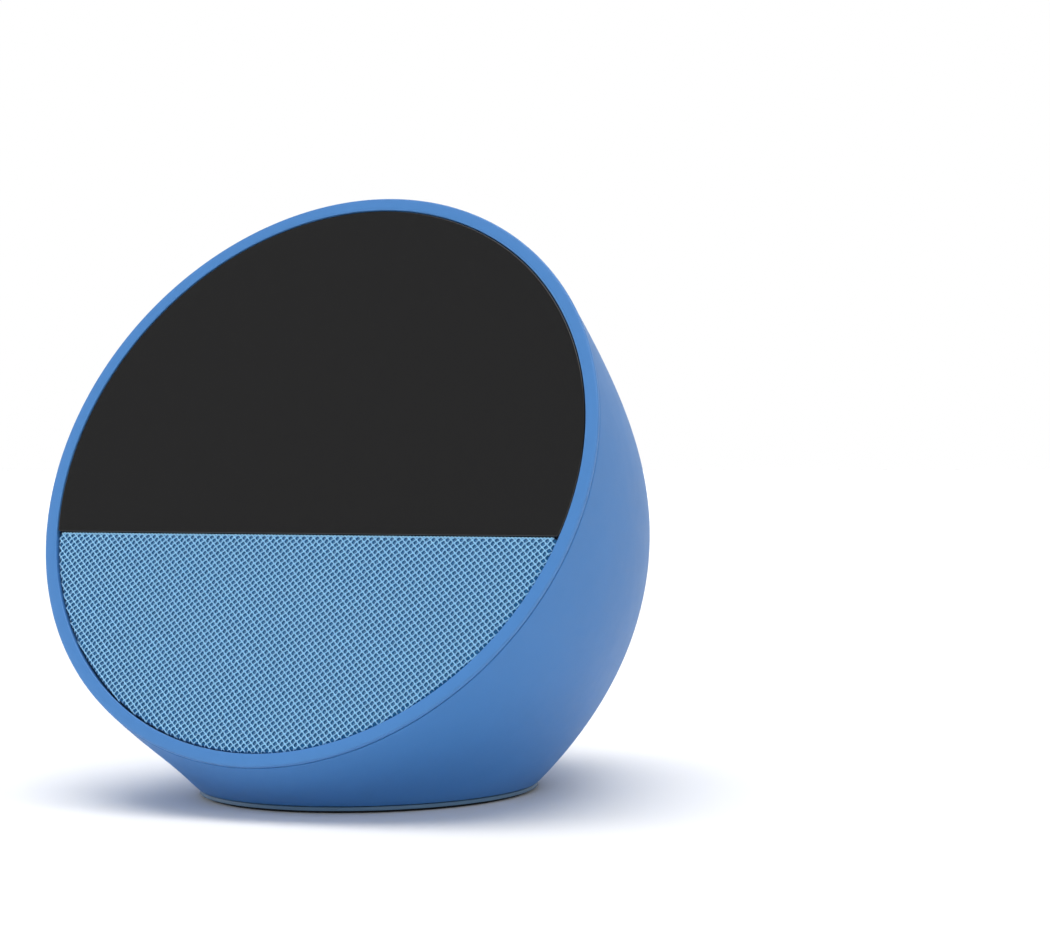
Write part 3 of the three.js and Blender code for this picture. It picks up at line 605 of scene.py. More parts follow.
class DISPLAY_OT_housing(bpy.types.Operator):
    """Rear housing: the outer skin, a rolled mouth behind the seam, an inner wall and the openings."""

    bl_idname = "display.housing"
    bl_label = "Rear housing"

    SEGMENTS = 288
    ROWS = 96
    MOUTH = 0.8
    LIP = 0.15
    # the wall is thin where the bezel plugs in, then thickens between two depths behind the mouth
    THIN_WALL = 0.55
    THIN_DEPTH = 5.0
    FULL_DEPTH = 11.0
    JACK_HEIGHT = 24.0
    JACK_RECESS = 5.8
    JACK_COLLAR = 7.6
    RECESS_START = 30.0
    COLLAR_START = 36.0
    # the collar's outer end is trimmed this far inside the skin
    COLLAR_TRIM = 0.6
    BUTTON_GAP = 0.28
    MICROPHONE_RADIUS = 0.55

    def execute(self, context):
        angle = np.linspace(0, 2 * math.pi, self.SEGMENTS, endpoint=False)
        mouth = -(self.MOUTH + mm("seam"))
        start = along_where(angle, lambda p: depth_in_face(p) - mouth, 0.0, 0.2)
        # rows crowd towards the rim and the base, where the edges are rolled
        spread = (1 - np.cos(np.linspace(0, math.pi, self.ROWS))) / 2
        along = start + (1.0 - start) * spread[:, None]
        outer = skin(angle[None, :], along)
        outward = skin_outward(angle[None, :], along)
        thickness = self.wall_at(depth_in_face(outer) - mouth)
        inner = outer - outward * thickness[..., None]
        lip = self.LIP
        run_in = np.linalg.norm(outer - outer[0], axis=-1)
        run_out = np.linalg.norm(outer - outer[-1], axis=-1)
        # near each end the outer skin turns in by a quarter circle
        short_of_lip = np.clip(lip - np.minimum(run_in, run_out), 0, lip)
        turn_in = lip - np.sqrt(np.clip(lip ** 2 - short_of_lip ** 2, 0, None))
        rolled = outer - outward * turn_in[..., None]
        rings = np.concatenate([rolled, inner[::-1]])
        piece = point_outward(stack("housing", rings, closed=True))
        collar = self.jack_bar(self.JACK_COLLAR, self.COLLAR_START)
        keep_inside = point_outward(stack("cutter", outer - outward * self.COLLAR_TRIM))
        combine(collar, ("INTERSECT", keep_inside))
        combine(piece, ("UNION", collar), *[("DIFFERENCE", cutter) for cutter in self.cutters()])
        finish_piece(sharpen(piece, 30), moulded_plastic("housing_plastic_fine", colours().housing, 0.52),
                     "root", "housing_plastic", "rear_housing")
        return {"FINISHED"}

    def wall_at(self, depth):
        """Wall thickness against depth behind the mouth, eased by the cubic 3tt - 2ttt."""
        t = np.clip((-depth - self.THIN_DEPTH) / (self.FULL_DEPTH - self.THIN_DEPTH), 0, 1)
        return self.THIN_WALL + (mm("wall") - self.THIN_WALL) * t * t * (3 - 2 * t)

    def cutters(self):
        """Plugs for the button, microphone and power openings."""
        spacing = mm("button_spacing")
        opening = mm("button_radius") + self.BUTTON_GAP
        buttons = [self.skin_cutter(x, opening, 0.22) for x in (-spacing, 0.0, spacing)]
        microphones = [self.skin_cutter(x, self.MICROPHONE_RADIUS, 0.12) for x in (-spacing / 2, spacing / 2)]
        return [*buttons, *microphones, self.jack_bar(self.JACK_RECESS, self.RECESS_START)]

    @staticmethod
    def skin_cutter(x, radius, chamfer):
        """A round plug along the press direction; its chamfer follows the skin's height at each angle."""
        angle = np.linspace(0, 2 * math.pi, 96, endpoint=False)
        edge = skin_height(x + radius * np.cos(angle), radius * np.sin(angle))
        rows = [(radius, edge - 4.5), (radius, edge - chamfer), (radius + 2 * chamfer, edge + chamfer),
                (radius + 2 * chamfer, edge + 3.0)]
        rings = [button_point(x + r * np.cos(angle), r * np.sin(angle), z) for r, z in rows]
        return point_outward(stack("cutter", np.stack(rings)))

    def jack_bar(self, radius, start):
        """A round bar along the depth axis at the socket's height, out through the low back of the skin."""
        angle = np.linspace(0, 2 * math.pi, 96, endpoint=False)
        rings = [world_point(radius * np.cos(angle), y, self.JACK_HEIGHT + radius * np.sin(angle))
                 for y in (start, 75.0)]
        return point_outward(stack("cutter", np.stack(rings)))


class DISPLAY_OT_bezel(bpy.types.Operator):
    """Front bezel: a flat ring with a soft outer edge, a barrel into the housing and a shelf inside."""

    bl_idname = "display.bezel"
    bl_label = "Front bezel"

    # radii, and heights out of the face's plane
    FLANGE_BACK = -0.8
    BARREL = 54.8
    BARREL_BACK = -3.9
    SKIRT = (51.6, 53.0)
    SKIRT_BACK = -6.4
    SHELF = 50.8
    SHELF_FRONT = -2.9

    def execute(self, context):
        inner, outer = mm("bezel_inner"), mm("face_radius")
        edge = mm("bezel_edge")
        skirt_inner, skirt_outer = self.SKIRT
        profile = [(inner, 0), (outer, 0), (outer, self.FLANGE_BACK), (self.BARREL, self.FLANGE_BACK),
                   (self.BARREL, self.BARREL_BACK), (skirt_outer, self.BARREL_BACK),
                   (skirt_outer, self.SKIRT_BACK), (skirt_inner, self.SKIRT_BACK),
                   (skirt_inner, self.BARREL_BACK), (self.SHELF, self.BARREL_BACK),
                   (self.SHELF, self.SHELF_FRONT), (inner, self.SHELF_FRONT)]
        radii = [0.18, edge, 0.15, 0, 0.2, 0, 0.2, 0.2, 0, 0.2, 0.2, 0]
        ring = turned("bezel", rounded(profile, radii), face_point, 320)
        finish_piece(ring, moulded_plastic("bezel_plastic_fine", colours().bezel, 0.42, 3200, 0.000006, 0.03),
                     "root", "bezel_plastic", "front_bezel")
        return {"FINISHED"}


class DISPLAY_OT_glass(bpy.types.Operator):
    """Half-moon cover glass with a ground edge, its rounding a quarter circle."""

    bl_idname = "display.glass"
    bl_label = "Cover glass"

    FRONT = -0.15
    BACK = -2.0
    EDGE = 0.15
    CORNER = 0.7
    # the straight edge stops this far above the divider, and the flat middle starts this far in
    STOP_SHORT = 0.1
    MIDDLE = 2.5

    def execute(self, context):
        chord = -mm("divider") + self.STOP_SHORT
        chamfer = 0.1
        profile = [(self.MIDDLE, self.FRONT), *quarter_round(self.EDGE, self.FRONT),
                   (0.0, self.BACK + chamfer), (chamfer, self.BACK), (self.MIDDLE, self.BACK)]

        def outline(inset):
            return half_moon(mm("glass_radius"), chord, self.CORNER, True, inset)
        piece = plate("cover_glass", outline, profile)
        finish_piece(piece, cover_glass("cover_glass_dark", colours().glass), "root", "screen_glass",
                     "display_glass")
        return {"FINISHED"}


class DISPLAY_OT_grille(bpy.types.Operator):
    """Knitted grille: a dark ground cloth, two crossing families of pale yarn and a float in each stitch."""

    bl_idname = "display.grille"
    bl_label = "Knitted grille"

    RADIUS = 53.8
    FRONT = -0.45
    BACK = -1.38
    # the ground cloth lies this far behind the middle of the pale yarns
    GROUND_DROP = 0.16
    # radius of the roll over the carrier's edge, and how many times tighter it is beside the glass
    EDGE = 0.6
    TIGHTER = 2.6
    CORNER = 0.6
    CHORD_GAP = 0.02

    # yarns on each side of the middle, crossings each way along one, and rings from crossing to crossing
    STRANDS = 95
    REACH = 100
    RINGS = 4
    SWAY = 0.03
    LIFT = 0.075
    SWELL = 0.36
    HALF_THICK = 0.13
    YARN_SIDES = 6

    # half-length, half-width and half-thickness of a float, its lean in radians, and its share of pale yarn;
    # the rest of its colour is the dark ground's, painted shade below the pale yarns
    FLOAT_LENGTH = 0.30
    FLOAT_WIDTH = 0.115
    FLOAT_THICK = 0.06
    FLOAT_LEAN = 1.05
    FLOAT_PALE = 0.25
    FLOAT_SIDES = 5

    def execute(self, context):
        chord = -mm("divider") - self.CHORD_GAP
        cloth = self.ground(chord)
        pale = yarn("pale_yarn", colours().yarn)
        share = self.FLOAT_PALE
        # the floats get a mostly dark mix of the two yarn colours: painted shade in each stitch's window
        # below the pale yarns
        float_colour_with_shade = tuple(share * a + (1 - share) * b for a, b in zip(colours().yarn, colours().backing))
        shadow = yarn("shaded_float_yarn", float_colour_with_shade)
        families = [self.family("yarn_rising", chord, 1), self.family("yarn_falling", chord, -1)]
        floats = self.floats("yarn_floats", chord)
        bound = self.bound_edge("yarn_edge", chord)
        for piece, material in [(families[0], pale), (families[1], pale), (bound, pale), (floats, shadow)]:
            finish_piece(piece, material, "root", "knit_fabric")
        finish_piece(cloth, ground_cloth("dark_ground", colours().backing), "root", "knit_fabric",
                     "speaker_fabric")
        return {"FINISHED"}

    def outline(self, chord, inset=0.0):
        return half_moon(self.RADIUS, chord, self.CORNER, False, inset)

    def flat_area(self, chord):
        """Area of the outline in square metres, by the shoelace sum."""
        x, y = self.outline(chord).T
        return abs(np.dot(x, np.roll(y, -1)) - np.dot(y, np.roll(x, -1))) / 2 * MM * MM

    def ground(self, chord):
        """The ground cloth: flat, and rolled over the carrier's edge by a quarter circle."""
        front = self.FRONT - self.GROUND_DROP
        middle = 4.0
        profile = [(middle, front), *quarter_round(self.EDGE - 0.15, front, 0.1),
                   (0.1, self.BACK), (0.6, self.BACK), (middle, front - 0.35)]
        return plate("ground_cloth", lambda inset: self.outline(chord, inset), profile)

    def edge_drop(self, x, y, chord):
        """Distance inside the outline, and how far the cloth rolls back there: a quarter circle on that
        distance, tighter along the straight edge beside the glass."""
        corner = self.CORNER
        level = chord - corner
        reach = math.sqrt((self.RADIUS - corner) ** 2 - level ** 2)
        inside = np.minimum(self.RADIUS - np.hypot(x, y), self.TIGHTER * (chord - y))
        in_corner = (y > level) & (np.abs(x) > reach)
        inside = np.where(in_corner, corner - np.hypot(np.abs(x) - reach, y - level), inside)
        near = np.clip(self.EDGE - inside, 0, self.EDGE)
        return inside, self.EDGE - np.sqrt(np.clip(self.EDGE ** 2 - near ** 2, 0, None))

    def family(self, name, chord, slope):
        """One family of diagonal yarns. Each is a flattened round section carried along a line that swings a
        little sideways, and over or under the other family at alternate crossings by a cosine."""
        pitch, rise = mm("yarn_pitch"), mm("yarn_rows")
        direction = np.array([pitch, slope * rise]) / 2
        unit = direction / np.linalg.norm(direction)
        side = np.array([-unit[1], unit[0]])
        reach = np.arange(-self.REACH * self.RINGS, self.REACH * self.RINGS + 1) / self.RINGS
        tubes = []
        for strand in range(-self.STRANDS, self.STRANDS + 1):
            line = np.array([strand * pitch, chord]) + reach[:, None] * direction
            inside, _ = self.edge_drop(line[:, 0], line[:, 1], chord)
            keep = inside > 0.02
            if keep.sum() < 3:
                continue
            s = reach[keep]
            over = slope * (1 if strand % 2 == 0 else -1)
            sway = self.SWAY * np.sin(math.pi * s * 2 + math.pi / 2 * (1 + slope))
            lift = self.LIFT * np.cos(math.pi * s) * over
            tubes.append(self.tube(line[keep], s, sway, lift, side, chord))
        return self.join(name, tubes)

    def tube(self, line, s, sway, lift, side, chord):
        """Rings of one yarn, which swells by a cosine at each crossing, and their uv along and round it."""
        corners = self.YARN_SIDES
        around = np.arange(corners) * 2 * math.pi / corners
        half = mm("yarn_width") / 2 * (1 + self.SWELL * np.cos(2 * math.pi * s))
        middle = line + side * sway[:, None]
        _, drop = self.edge_drop(middle[:, 0], middle[:, 1], chord)
        flat = middle[:, None, :] + side * (half[:, None] * np.cos(around))[..., None]
        height = self.FRONT - drop[:, None] + lift[:, None] + self.HALF_THICK * np.sin(around)
        points = face_point(flat[..., 0], flat[..., 1], height)
        uv = np.stack(np.broadcast_arrays(s[:, None], np.arange(corners) / corners), -1)
        return points, uv

    @staticmethod
    def join(name, tubes):
        """One mesh of many separate tubes, each end closed by a fan of triangles."""
        points, uvs, quads, fans = [], [], [], []
        base = 0
        for rings, uv in tubes:
            rows, count = rings.shape[:2]
            quads.append(grid_faces(rows, count) + base)
            wedge = np.stack([np.zeros(count - 2, int), np.arange(2, count), np.arange(1, count - 1)], -1)
            fans.append(wedge + base)
            fans.append(wedge[:, ::-1] + base + (rows - 1) * count)
            points.append(rings.reshape(-1, 3))
            uvs.append(uv.reshape(-1, 2))
            base += rows * count
        return point_outward(new_piece(name, np.concatenate(points), quads=np.concatenate(quads),
                                       triangles=np.concatenate(fans), uv=np.concatenate(uvs)))

    def bound_edge(self, name, chord):
        """A yarn along the straight edge that dips once a stitch, by a rectified cosine."""
        reach = math.sqrt(self.RADIUS ** 2 - chord ** 2) - self.CORNER - 0.3
        s = np.arange(-reach, reach, 0.12)
        line = np.stack([s, np.full(len(s), chord - 0.12)], -1)
        dip = -0.12 * (1 - np.abs(np.cos(math.pi * s / mm("yarn_pitch") * 2)))
        return self.join(name, [self.tube(line, s * 0, dip, dip, np.array([0.0, 1.0]), chord)])

    def floats(self, name, chord):
        """A short thick float lying on the slant in each stitch's window, below the pale yarns."""
        pitch, rise = mm("yarn_pitch"), mm("yarn_rows")
        column, row = np.meshgrid(np.arange(-40, 41), np.arange(70))
        x = (column + 0.5 * (row % 2) + 0.5) * pitch
        y = chord - row * rise / 2
        inside, _ = self.edge_drop(x, y, chord)
        x, y = x[inside > 0.8], y[inside > 0.8]
        scatter = np.random.default_rng(7)
        lean = self.FLOAT_LEAN + 0.12 * scatter.standard_normal(len(x))
        size = 1 + 0.1 * scatter.standard_normal(len(x))
        # places along a float, and its girth at each
        length = np.array([-1.0, -0.7, 0.0, 0.7, 1.0])
        girth = np.array([0.25, 0.8, 1.0, 0.8, 0.25])[:, None]
        around = np.arange(self.FLOAT_SIDES) * 2 * math.pi / self.FLOAT_SIDES
        run = np.stack([np.cos(lean), np.sin(lean)], -1)
        side = np.stack([-run[:, 1], run[:, 0]], -1)
        # axes from here: float, place along it, place round it, x or y
        centre = np.stack([x + 0.10, y - 0.02], -1)[:, None, None, :]
        along = ((self.FLOAT_LENGTH * size)[:, None] * length)[:, :, None, None]
        width = (self.FLOAT_WIDTH * girth * np.cos(around))[None, :, :, None]
        flat = centre + along * run[:, None, None, :] + width * side[:, None, None, :]
        height = self.FRONT - 0.10 + self.FLOAT_THICK * girth * np.sin(around)
        points = face_point(flat[..., 0], flat[..., 1], np.broadcast_to(height, flat.shape[:-1]))
        turn = np.arange(self.FLOAT_SIDES) / self.FLOAT_SIDES
        uv = np.stack(np.broadcast_arrays(length[:, None], turn), -1)
        uv = np.broadcast_to(uv, (len(x), *uv.shape))
        return self.join(name, list(zip(points, uv)))


class DISPLAY_OT_buttons(bpy.types.Operator):
    """Volume down, microphone mute and volume up: caps that follow the skin, with raised generic signs."""

    bl_idname = "display.buttons"
    bl_label = "Buttons"

    PROUD = 0.4
    EDGE = 0.45
    DISH = 0.18
    DISH_RADIUS = 3.6
    FLANGE = 1.0
    FLANGE_DROP = 2.6
    STEM_RADIUS = 1.4
    STEM_END = -7.6
    SIGN_HEIGHT = 0.1
    # each sign is a few bars: both ends, across and down the cap, and half the width
    SIGNS = {
        "volume_down": [((-1.3, 0), (1.3, 0), 0.22)],
        "mute": [((0, -0.75), (0, 0.35), 0.52), ((-1.5, 1.5), (1.5, -1.5), 0.16),
                 ((0, 1.1), (0, 1.6), 0.16)],
        "volume_up": [((-1.3, 0), (1.3, 0), 0.22), ((0, -1.3), (0, -0.42), 0.22),
                      ((0, 0.42), (0, 1.3), 0.22)],
    }

    def execute(self, context):
        plastic = moulded_plastic("button_plastic", colours().housing, 0.46, 3000, 0.000008)
        sign = moulded_plastic("button_sign", tuple(0.4 + 0.6 * c for c in colours().housing), 0.5)
        spacing = mm("button_spacing")
        for index, name in enumerate(BUTTON_NAMES):
            x = (index - 1) * spacing
            cap = self.cap(f"{name}_cap", x)
            finish_piece(cap, plastic, name, "housing_plastic", f"{name}_button")
            for number, (start, end, half_width) in enumerate(self.SIGNS[name], 1):
                bar = self.bar(f"{name}_sign_{number}", x, start, end, half_width)
                finish_piece(bar, sign, name, "switch_plunger_plastic")
        return {"FINISHED"}

    def crown(self, x, y, centre):
        """Height of a cap's top: the skin plus the cap's step, dished by the square of the radius."""
        dish = self.DISH * np.clip(1 - ((x - centre) ** 2 + y ** 2) / self.DISH_RADIUS ** 2, 0, 1)
        return skin_height(x, y) + self.PROUD - dish

    def cap(self, name, centre):
        """Rings from the middle out over a rounded edge, down the side, round the lip and down the stem."""
        angle = np.linspace(0, 2 * math.pi, 120, endpoint=False)
        radius = mm("button_radius")
        edge = self.EDGE
        rings = []

        def add(r, below_crown=0.0, level=None):
            x, y = centre + r * np.cos(angle), r * np.sin(angle)
            z = self.crown(x, y, centre) + below_crown if level is None else level + 0 * angle
            rings.append(button_point(x, y, z))

        for r in np.linspace(0.05, radius - edge, 14):
            add(r)
        for turn in np.linspace(0, math.pi / 2, 7)[1:]:
            add(radius - edge + edge * math.sin(turn), -edge * (1 - math.cos(turn)))
        drop = -(self.PROUD + self.FLANGE_DROP)
        add(radius, drop + 0.05)
        add(radius + self.FLANGE, drop)
        add(radius + self.FLANGE, drop - 0.8)
        add(self.STEM_RADIUS + 0.6, drop - 0.85)
        add(self.STEM_RADIUS, drop - 1.1)
        add(self.STEM_RADIUS, level=self.STEM_END + 0.2)
        add(self.STEM_RADIUS - 0.2, level=self.STEM_END)
        add(0.05, level=self.STEM_END)
        return sharpen(point_outward(stack(name, np.stack(rings))), 50)

    def bar(self, name, centre, start, end, half_width):
        """A raised bar with round ends: rings of its outline, drawn in and lifted by a quarter circle."""
        start, end = np.array(start, float), np.array(end, float)
        run = (end - start) / np.linalg.norm(end - start)
        side = np.array([-run[1], run[0]])
        sweep = np.linspace(-math.pi / 2, math.pi / 2, 13)
        round_end = np.cos(sweep)[:, None] * run + np.sin(sweep)[:, None] * side
        rows = [(half_width, -0.25), (half_width, 0.0)]
        for turn in np.linspace(0, math.pi / 2, 6)[1:-1]:
            rows.append((half_width * (1 - 0.6 * (1 - math.cos(turn))), self.SIGN_HEIGHT * math.sin(turn)))
        rings = []
        for width, height in rows:
            far = end + width * round_end
            near = start - width * round_end
            ring = np.concatenate([far, near])
            x, y = centre + ring[:, 0], ring[:, 1]
            rings.append(button_point(x, y, self.crown(x, y, centre) + height))
        return sharpen(point_outward(stack(name, np.stack(rings))), 60)


class DISPLAY_OT_base(bpy.types.Operator):
    """Base plate with its bevelled edge, and the rubber foot pad with moulded rings."""

    bl_idname = "display.base"
    bl_label = "Base plate and foot"

    LIP_BOTTOM = 0.5
    LIP_TOP = 1.24
    SPIGOT = 28.2
    SPIGOT_TOP = 3.8
    FOOT_TOP = 0.44
    FOOT_BORDER = 4.0
    RIDGE_PITCH = 1.6
    RIDGE_DEPTH = 0.1

    def execute(self, context):
        self.ring()
        self.foot()
        return {"FINISHED"}

    def ring(self):
        """A plate with a bevelled lip under the housing, and a spigot up into it."""
        lip = BASE_RADIUS - 0.1
        profile = [(0.4, self.LIP_BOTTOM), (lip, self.LIP_BOTTOM), (lip - 0.1, self.LIP_TOP),
                   (self.SPIGOT, self.LIP_TOP), (self.SPIGOT, self.SPIGOT_TOP), (0.4, self.SPIGOT_TOP)]
        radii = [0, 0.12, 0.25, 0.1, 0.3, 0]
        piece = turned("base_ring", rounded(profile, radii, 6), world_point, 288, closed=False)
        finish_piece(piece, moulded_plastic("base_plastic_fine", colours().base, 0.5), "root", "base_plastic",
                     "base_plate")

    def foot(self):
        """A rubber disc whose underside carries shallow rings, a raised cosine of the radius, inside a plain
        border."""
        outer = mm("foot_radius")
        inner = outer - self.FOOT_BORDER
        radius = np.linspace(inner, 1.0, 240)
        ridge = self.RIDGE_DEPTH * (0.5 - 0.5 * np.cos(2 * math.pi * (inner - radius) / self.RIDGE_PITCH))
        border = [(inner, 0.0), (outer, 0.0), (outer, self.FOOT_TOP), (outer - 1, self.FOOT_TOP)]
        border = rounded(border, [0, 0.15, 0.08, 0], 6)
        profile = np.concatenate([[[0.3, self.FOOT_TOP]], border[::-1], np.stack([radius, ridge], -1),
                                  [[0.3, 0.0]]])
        piece = turned("foot_disc", profile, world_point, 192, closed=False)
        finish_piece(piece, rubber("foot_rubber_fine", colours().rubber), "root", "foot_rubber", "foot_pad")


class DISPLAY_OT_socket(bpy.types.Operator):
    """Power socket: a turned barrel with a stepped mouth, its spring contact ring and centre pin."""

    bl_idname = "display.socket"
    bl_label = "Power socket"

    HEIGHT = 24.0
    FACE = 44.0
    # places along the depth axis, and radii
    START = 31.0
    BORE_END = 35.0
    OUTER = 5.5
    BORE = 3.2
    CONTACT = (2.85, 3.15)
    CONTACT_DEPTHS = (0.6, 6)
    PIN = 1.0
    PIN_ROUND = 0.9

    def place(self, x, y, z):
        """Turned about the depth axis, at the socket's height."""
        return world_point(x, z, self.HEIGHT + y)

    def execute(self, context):
        face = self.FACE
        profile = rounded([(self.OUTER, self.START), (self.OUTER, face), (self.BORE, face),
                           (self.BORE, self.BORE_END), (0.3, self.BORE_END), (0.3, self.START)],
                          [0.2, 0.4, 0.35, 0.1, 0, 0], 6)
        body = turned("socket_barrel", profile, self.place, 128)
        finish_piece(body, moulded_plastic("socket_plastic", (0.014, 0.015, 0.018), 0.4), "root",
                     "black_plastic", "power_socket")
        inside, outside = self.CONTACT
        front, back = (face - depth for depth in self.CONTACT_DEPTHS)
        profile = rounded([(outside, front), (outside, back), (inside, back), (inside, front)], 0.08, 4)
        ring = turned("socket_contact", profile, self.place, 96)
        finish_piece(ring, sheet_metal("contact_metal", (0.62, 0.6, 0.56), 0.25), "root", "bare_steel")
        tip = face - 1.0
        shoulder = tip - self.PIN_ROUND
        turn = np.linspace(0, math.pi / 2, 8)[1:-1]
        profile = [(0.05, self.BORE_END + 0.3), (self.PIN, self.BORE_END + 0.3), (self.PIN, shoulder)]
        profile += [(math.cos(a), shoulder + self.PIN_ROUND * math.sin(a)) for a in turn] + [(0.05, tip)]
        pin = turned("socket_pin", profile, self.place, 48, closed=False)
        finish_piece(pin, sheet_metal("pin_metal", (0.75, 0.55, 0.22), 0.22), "root", "pin_brass",
                     "power_socket_pin")
        return {"FINISHED"}


class DISPLAY_OT_cone(bpy.types.Operator):
    """Loudspeaker cone, dust cap, roll surround and spider, as thin turned skins."""

    bl_idname = "display.cone"
    bl_label = "Loudspeaker cone"

    # how far below the face's centre the axis lies, and a small shift back from the CAD's depth
    CENTRE = -29.5
    SHIFT = -0.3
    NECK = 7.75
    CONE_SPREAD = 7.3
    CONE_BACK = -12.5
    CONE_DEPTH = 5.3
    DOME_RADIUS = 7.1
    DOME_BASE = -11.1
    DOME_HEIGHT = 2.4
    ROLL_CENTRE = (16.95, -6.4)
    ROLL_RADIUS = 1.18
    FLANGE = (18.3, 19.0)
    SPIDER_SPREAD = 5.6
    SPIDER_PLACE = -14.85
    SPIDER_WAVES = 4
    SPIDER_HEIGHT = 0.3

    def place(self, x, y, z):
        return face_point(x, self.CENTRE + y, self.SHIFT + z)

    def skin(self, name, line, thickness):
        """A turned skin: a line of [r, z] points, given a thickness across its own direction."""
        line = np.asarray(line, float)
        run = np.gradient(line, axis=0)
        across = np.stack([-run[:, 1], run[:, 0]], -1) / np.linalg.norm(run, axis=1, keepdims=True)
        profile = np.concatenate([line + across * thickness / 2, (line - across * thickness / 2)[::-1]])
        return turned(name, profile, self.place, 128)

    def execute(self, context):
        paper = ground_cloth("cone_paper_fine", (0.022, 0.023, 0.026))
        share = np.linspace(0, 1, 24)
        # the cone rises by the 0.85th power of the share of its radius
        line = [self.NECK + self.CONE_SPREAD * share, self.CONE_BACK + self.CONE_DEPTH * share ** 0.85]
        cone = self.skin("cone_skin", np.stack(line, -1), 0.45)
        finish_piece(cone, paper, "speaker_cone_body", "cone_paper", "speaker_cone")
        # the dust cap is a quarter ellipse
        lean = np.linspace(0.06, math.pi / 2, 20)
        line = [self.DOME_RADIUS * np.sin(lean), self.DOME_BASE + self.DOME_HEIGHT * np.cos(lean)]
        dome = self.skin("dust_dome", np.stack(line, -1), 0.35)
        finish_piece(dome, paper, "speaker_cone_body", "cone_paper", "dust_cap")
        # the surround is a half circle and a flat flange
        turn = np.linspace(math.pi, 0, 24)
        middle, level = self.ROLL_CENTRE
        line = [middle + self.ROLL_RADIUS * np.cos(turn), level + self.ROLL_RADIUS * np.sin(turn)]
        roll = np.stack(line, -1)
        flange = np.stack([np.linspace(*self.FLANGE, 6), np.full(6, level - 0.02)], -1)
        edge = self.skin("surround_roll", np.concatenate([roll, flange]), 0.3)
        finish_piece(edge, rubber("surround_rubber", (0.014, 0.014, 0.016)), "root", "foot_rubber",
                     "speaker_surround")
        # the spider is pleated by a sine of the radius
        share = np.linspace(0, 1, 60)
        pleat = self.SPIDER_HEIGHT * np.sin(2 * math.pi * self.SPIDER_WAVES * share)
        line = [self.NECK + self.SPIDER_SPREAD * share, self.SPIDER_PLACE + pleat]
        spider = self.skin("spider_disc", np.stack(line, -1), 0.22)
        finish_piece(spider, ground_cloth("spider_cloth_fine", (0.42, 0.27, 0.10)), "root", "spider_cloth",
                     "speaker_spider")
        return {"FINISHED"}


class DISPLAY_OT_inner(bpy.types.Operator):
    """Finishes for the pieces carried over from the frame: boards, cans, screws, tray, leads and the rest."""

    bl_idname = "display.inner"
    bl_label = "Inner pieces"

    def execute(self, context):
        black = (0.014, 0.015, 0.018)
        looks = {
            "black_plastic": moulded_plastic("black_moulding", black, 0.55),
            "switch_plunger_plastic": moulded_plastic("white_moulding", (0.72, 0.72, 0.69), 0.4),
            "foot_rubber": rubber("seal_rubber", (0.013, 0.013, 0.015)),
            "lead_sleeve": rubber("lead_sleeve_black", (0.016, 0.016, 0.018)),
            "circuit_board": solder_mask("board_mask", (0.02, 0.11, 0.05)),
            "flex_film": banded("flex_copper", (0.40, 0.17, 0.035), 260.0, 1.4, 0.00003, 0.4,
                                Roughness=0.35, Coat_Weight=0.4),
            "bare_steel": sheet_metal("plated_steel", (0.52, 0.52, 0.54)),
            "magnet": sheet_metal("plated_magnet", (0.16, 0.16, 0.17), 0.4),
            "heat_sheet": sheet_metal("mill_aluminium", (0.64, 0.64, 0.66), 0.36),
            "coil_copper": banded("copper_winding", (0.60, 0.22, 0.06), 1300.0, 1.2, 0.00005, 0.6,
                                  wobble=0.4, along="Y", Metallic=0.9, Roughness=0.3),
            "thermal_pad": rubber("pad_filled", (0.26, 0.28, 0.31)),
        }
        slots = {row["node"]: row["material_slot"] for row in frame["record"]["subparts"]}
        for name, node in frame["nodes"].items():
            if node.hide_render:
                continue
            if slots[name] not in looks:
                raise RuntimeError(f"no finish for {name}")
            if not node.material_slots:
                node.data.materials.append(None)
            for holder in node.material_slots:
                holder.material = looks[slots[name]]
        return {"FINISHED"}


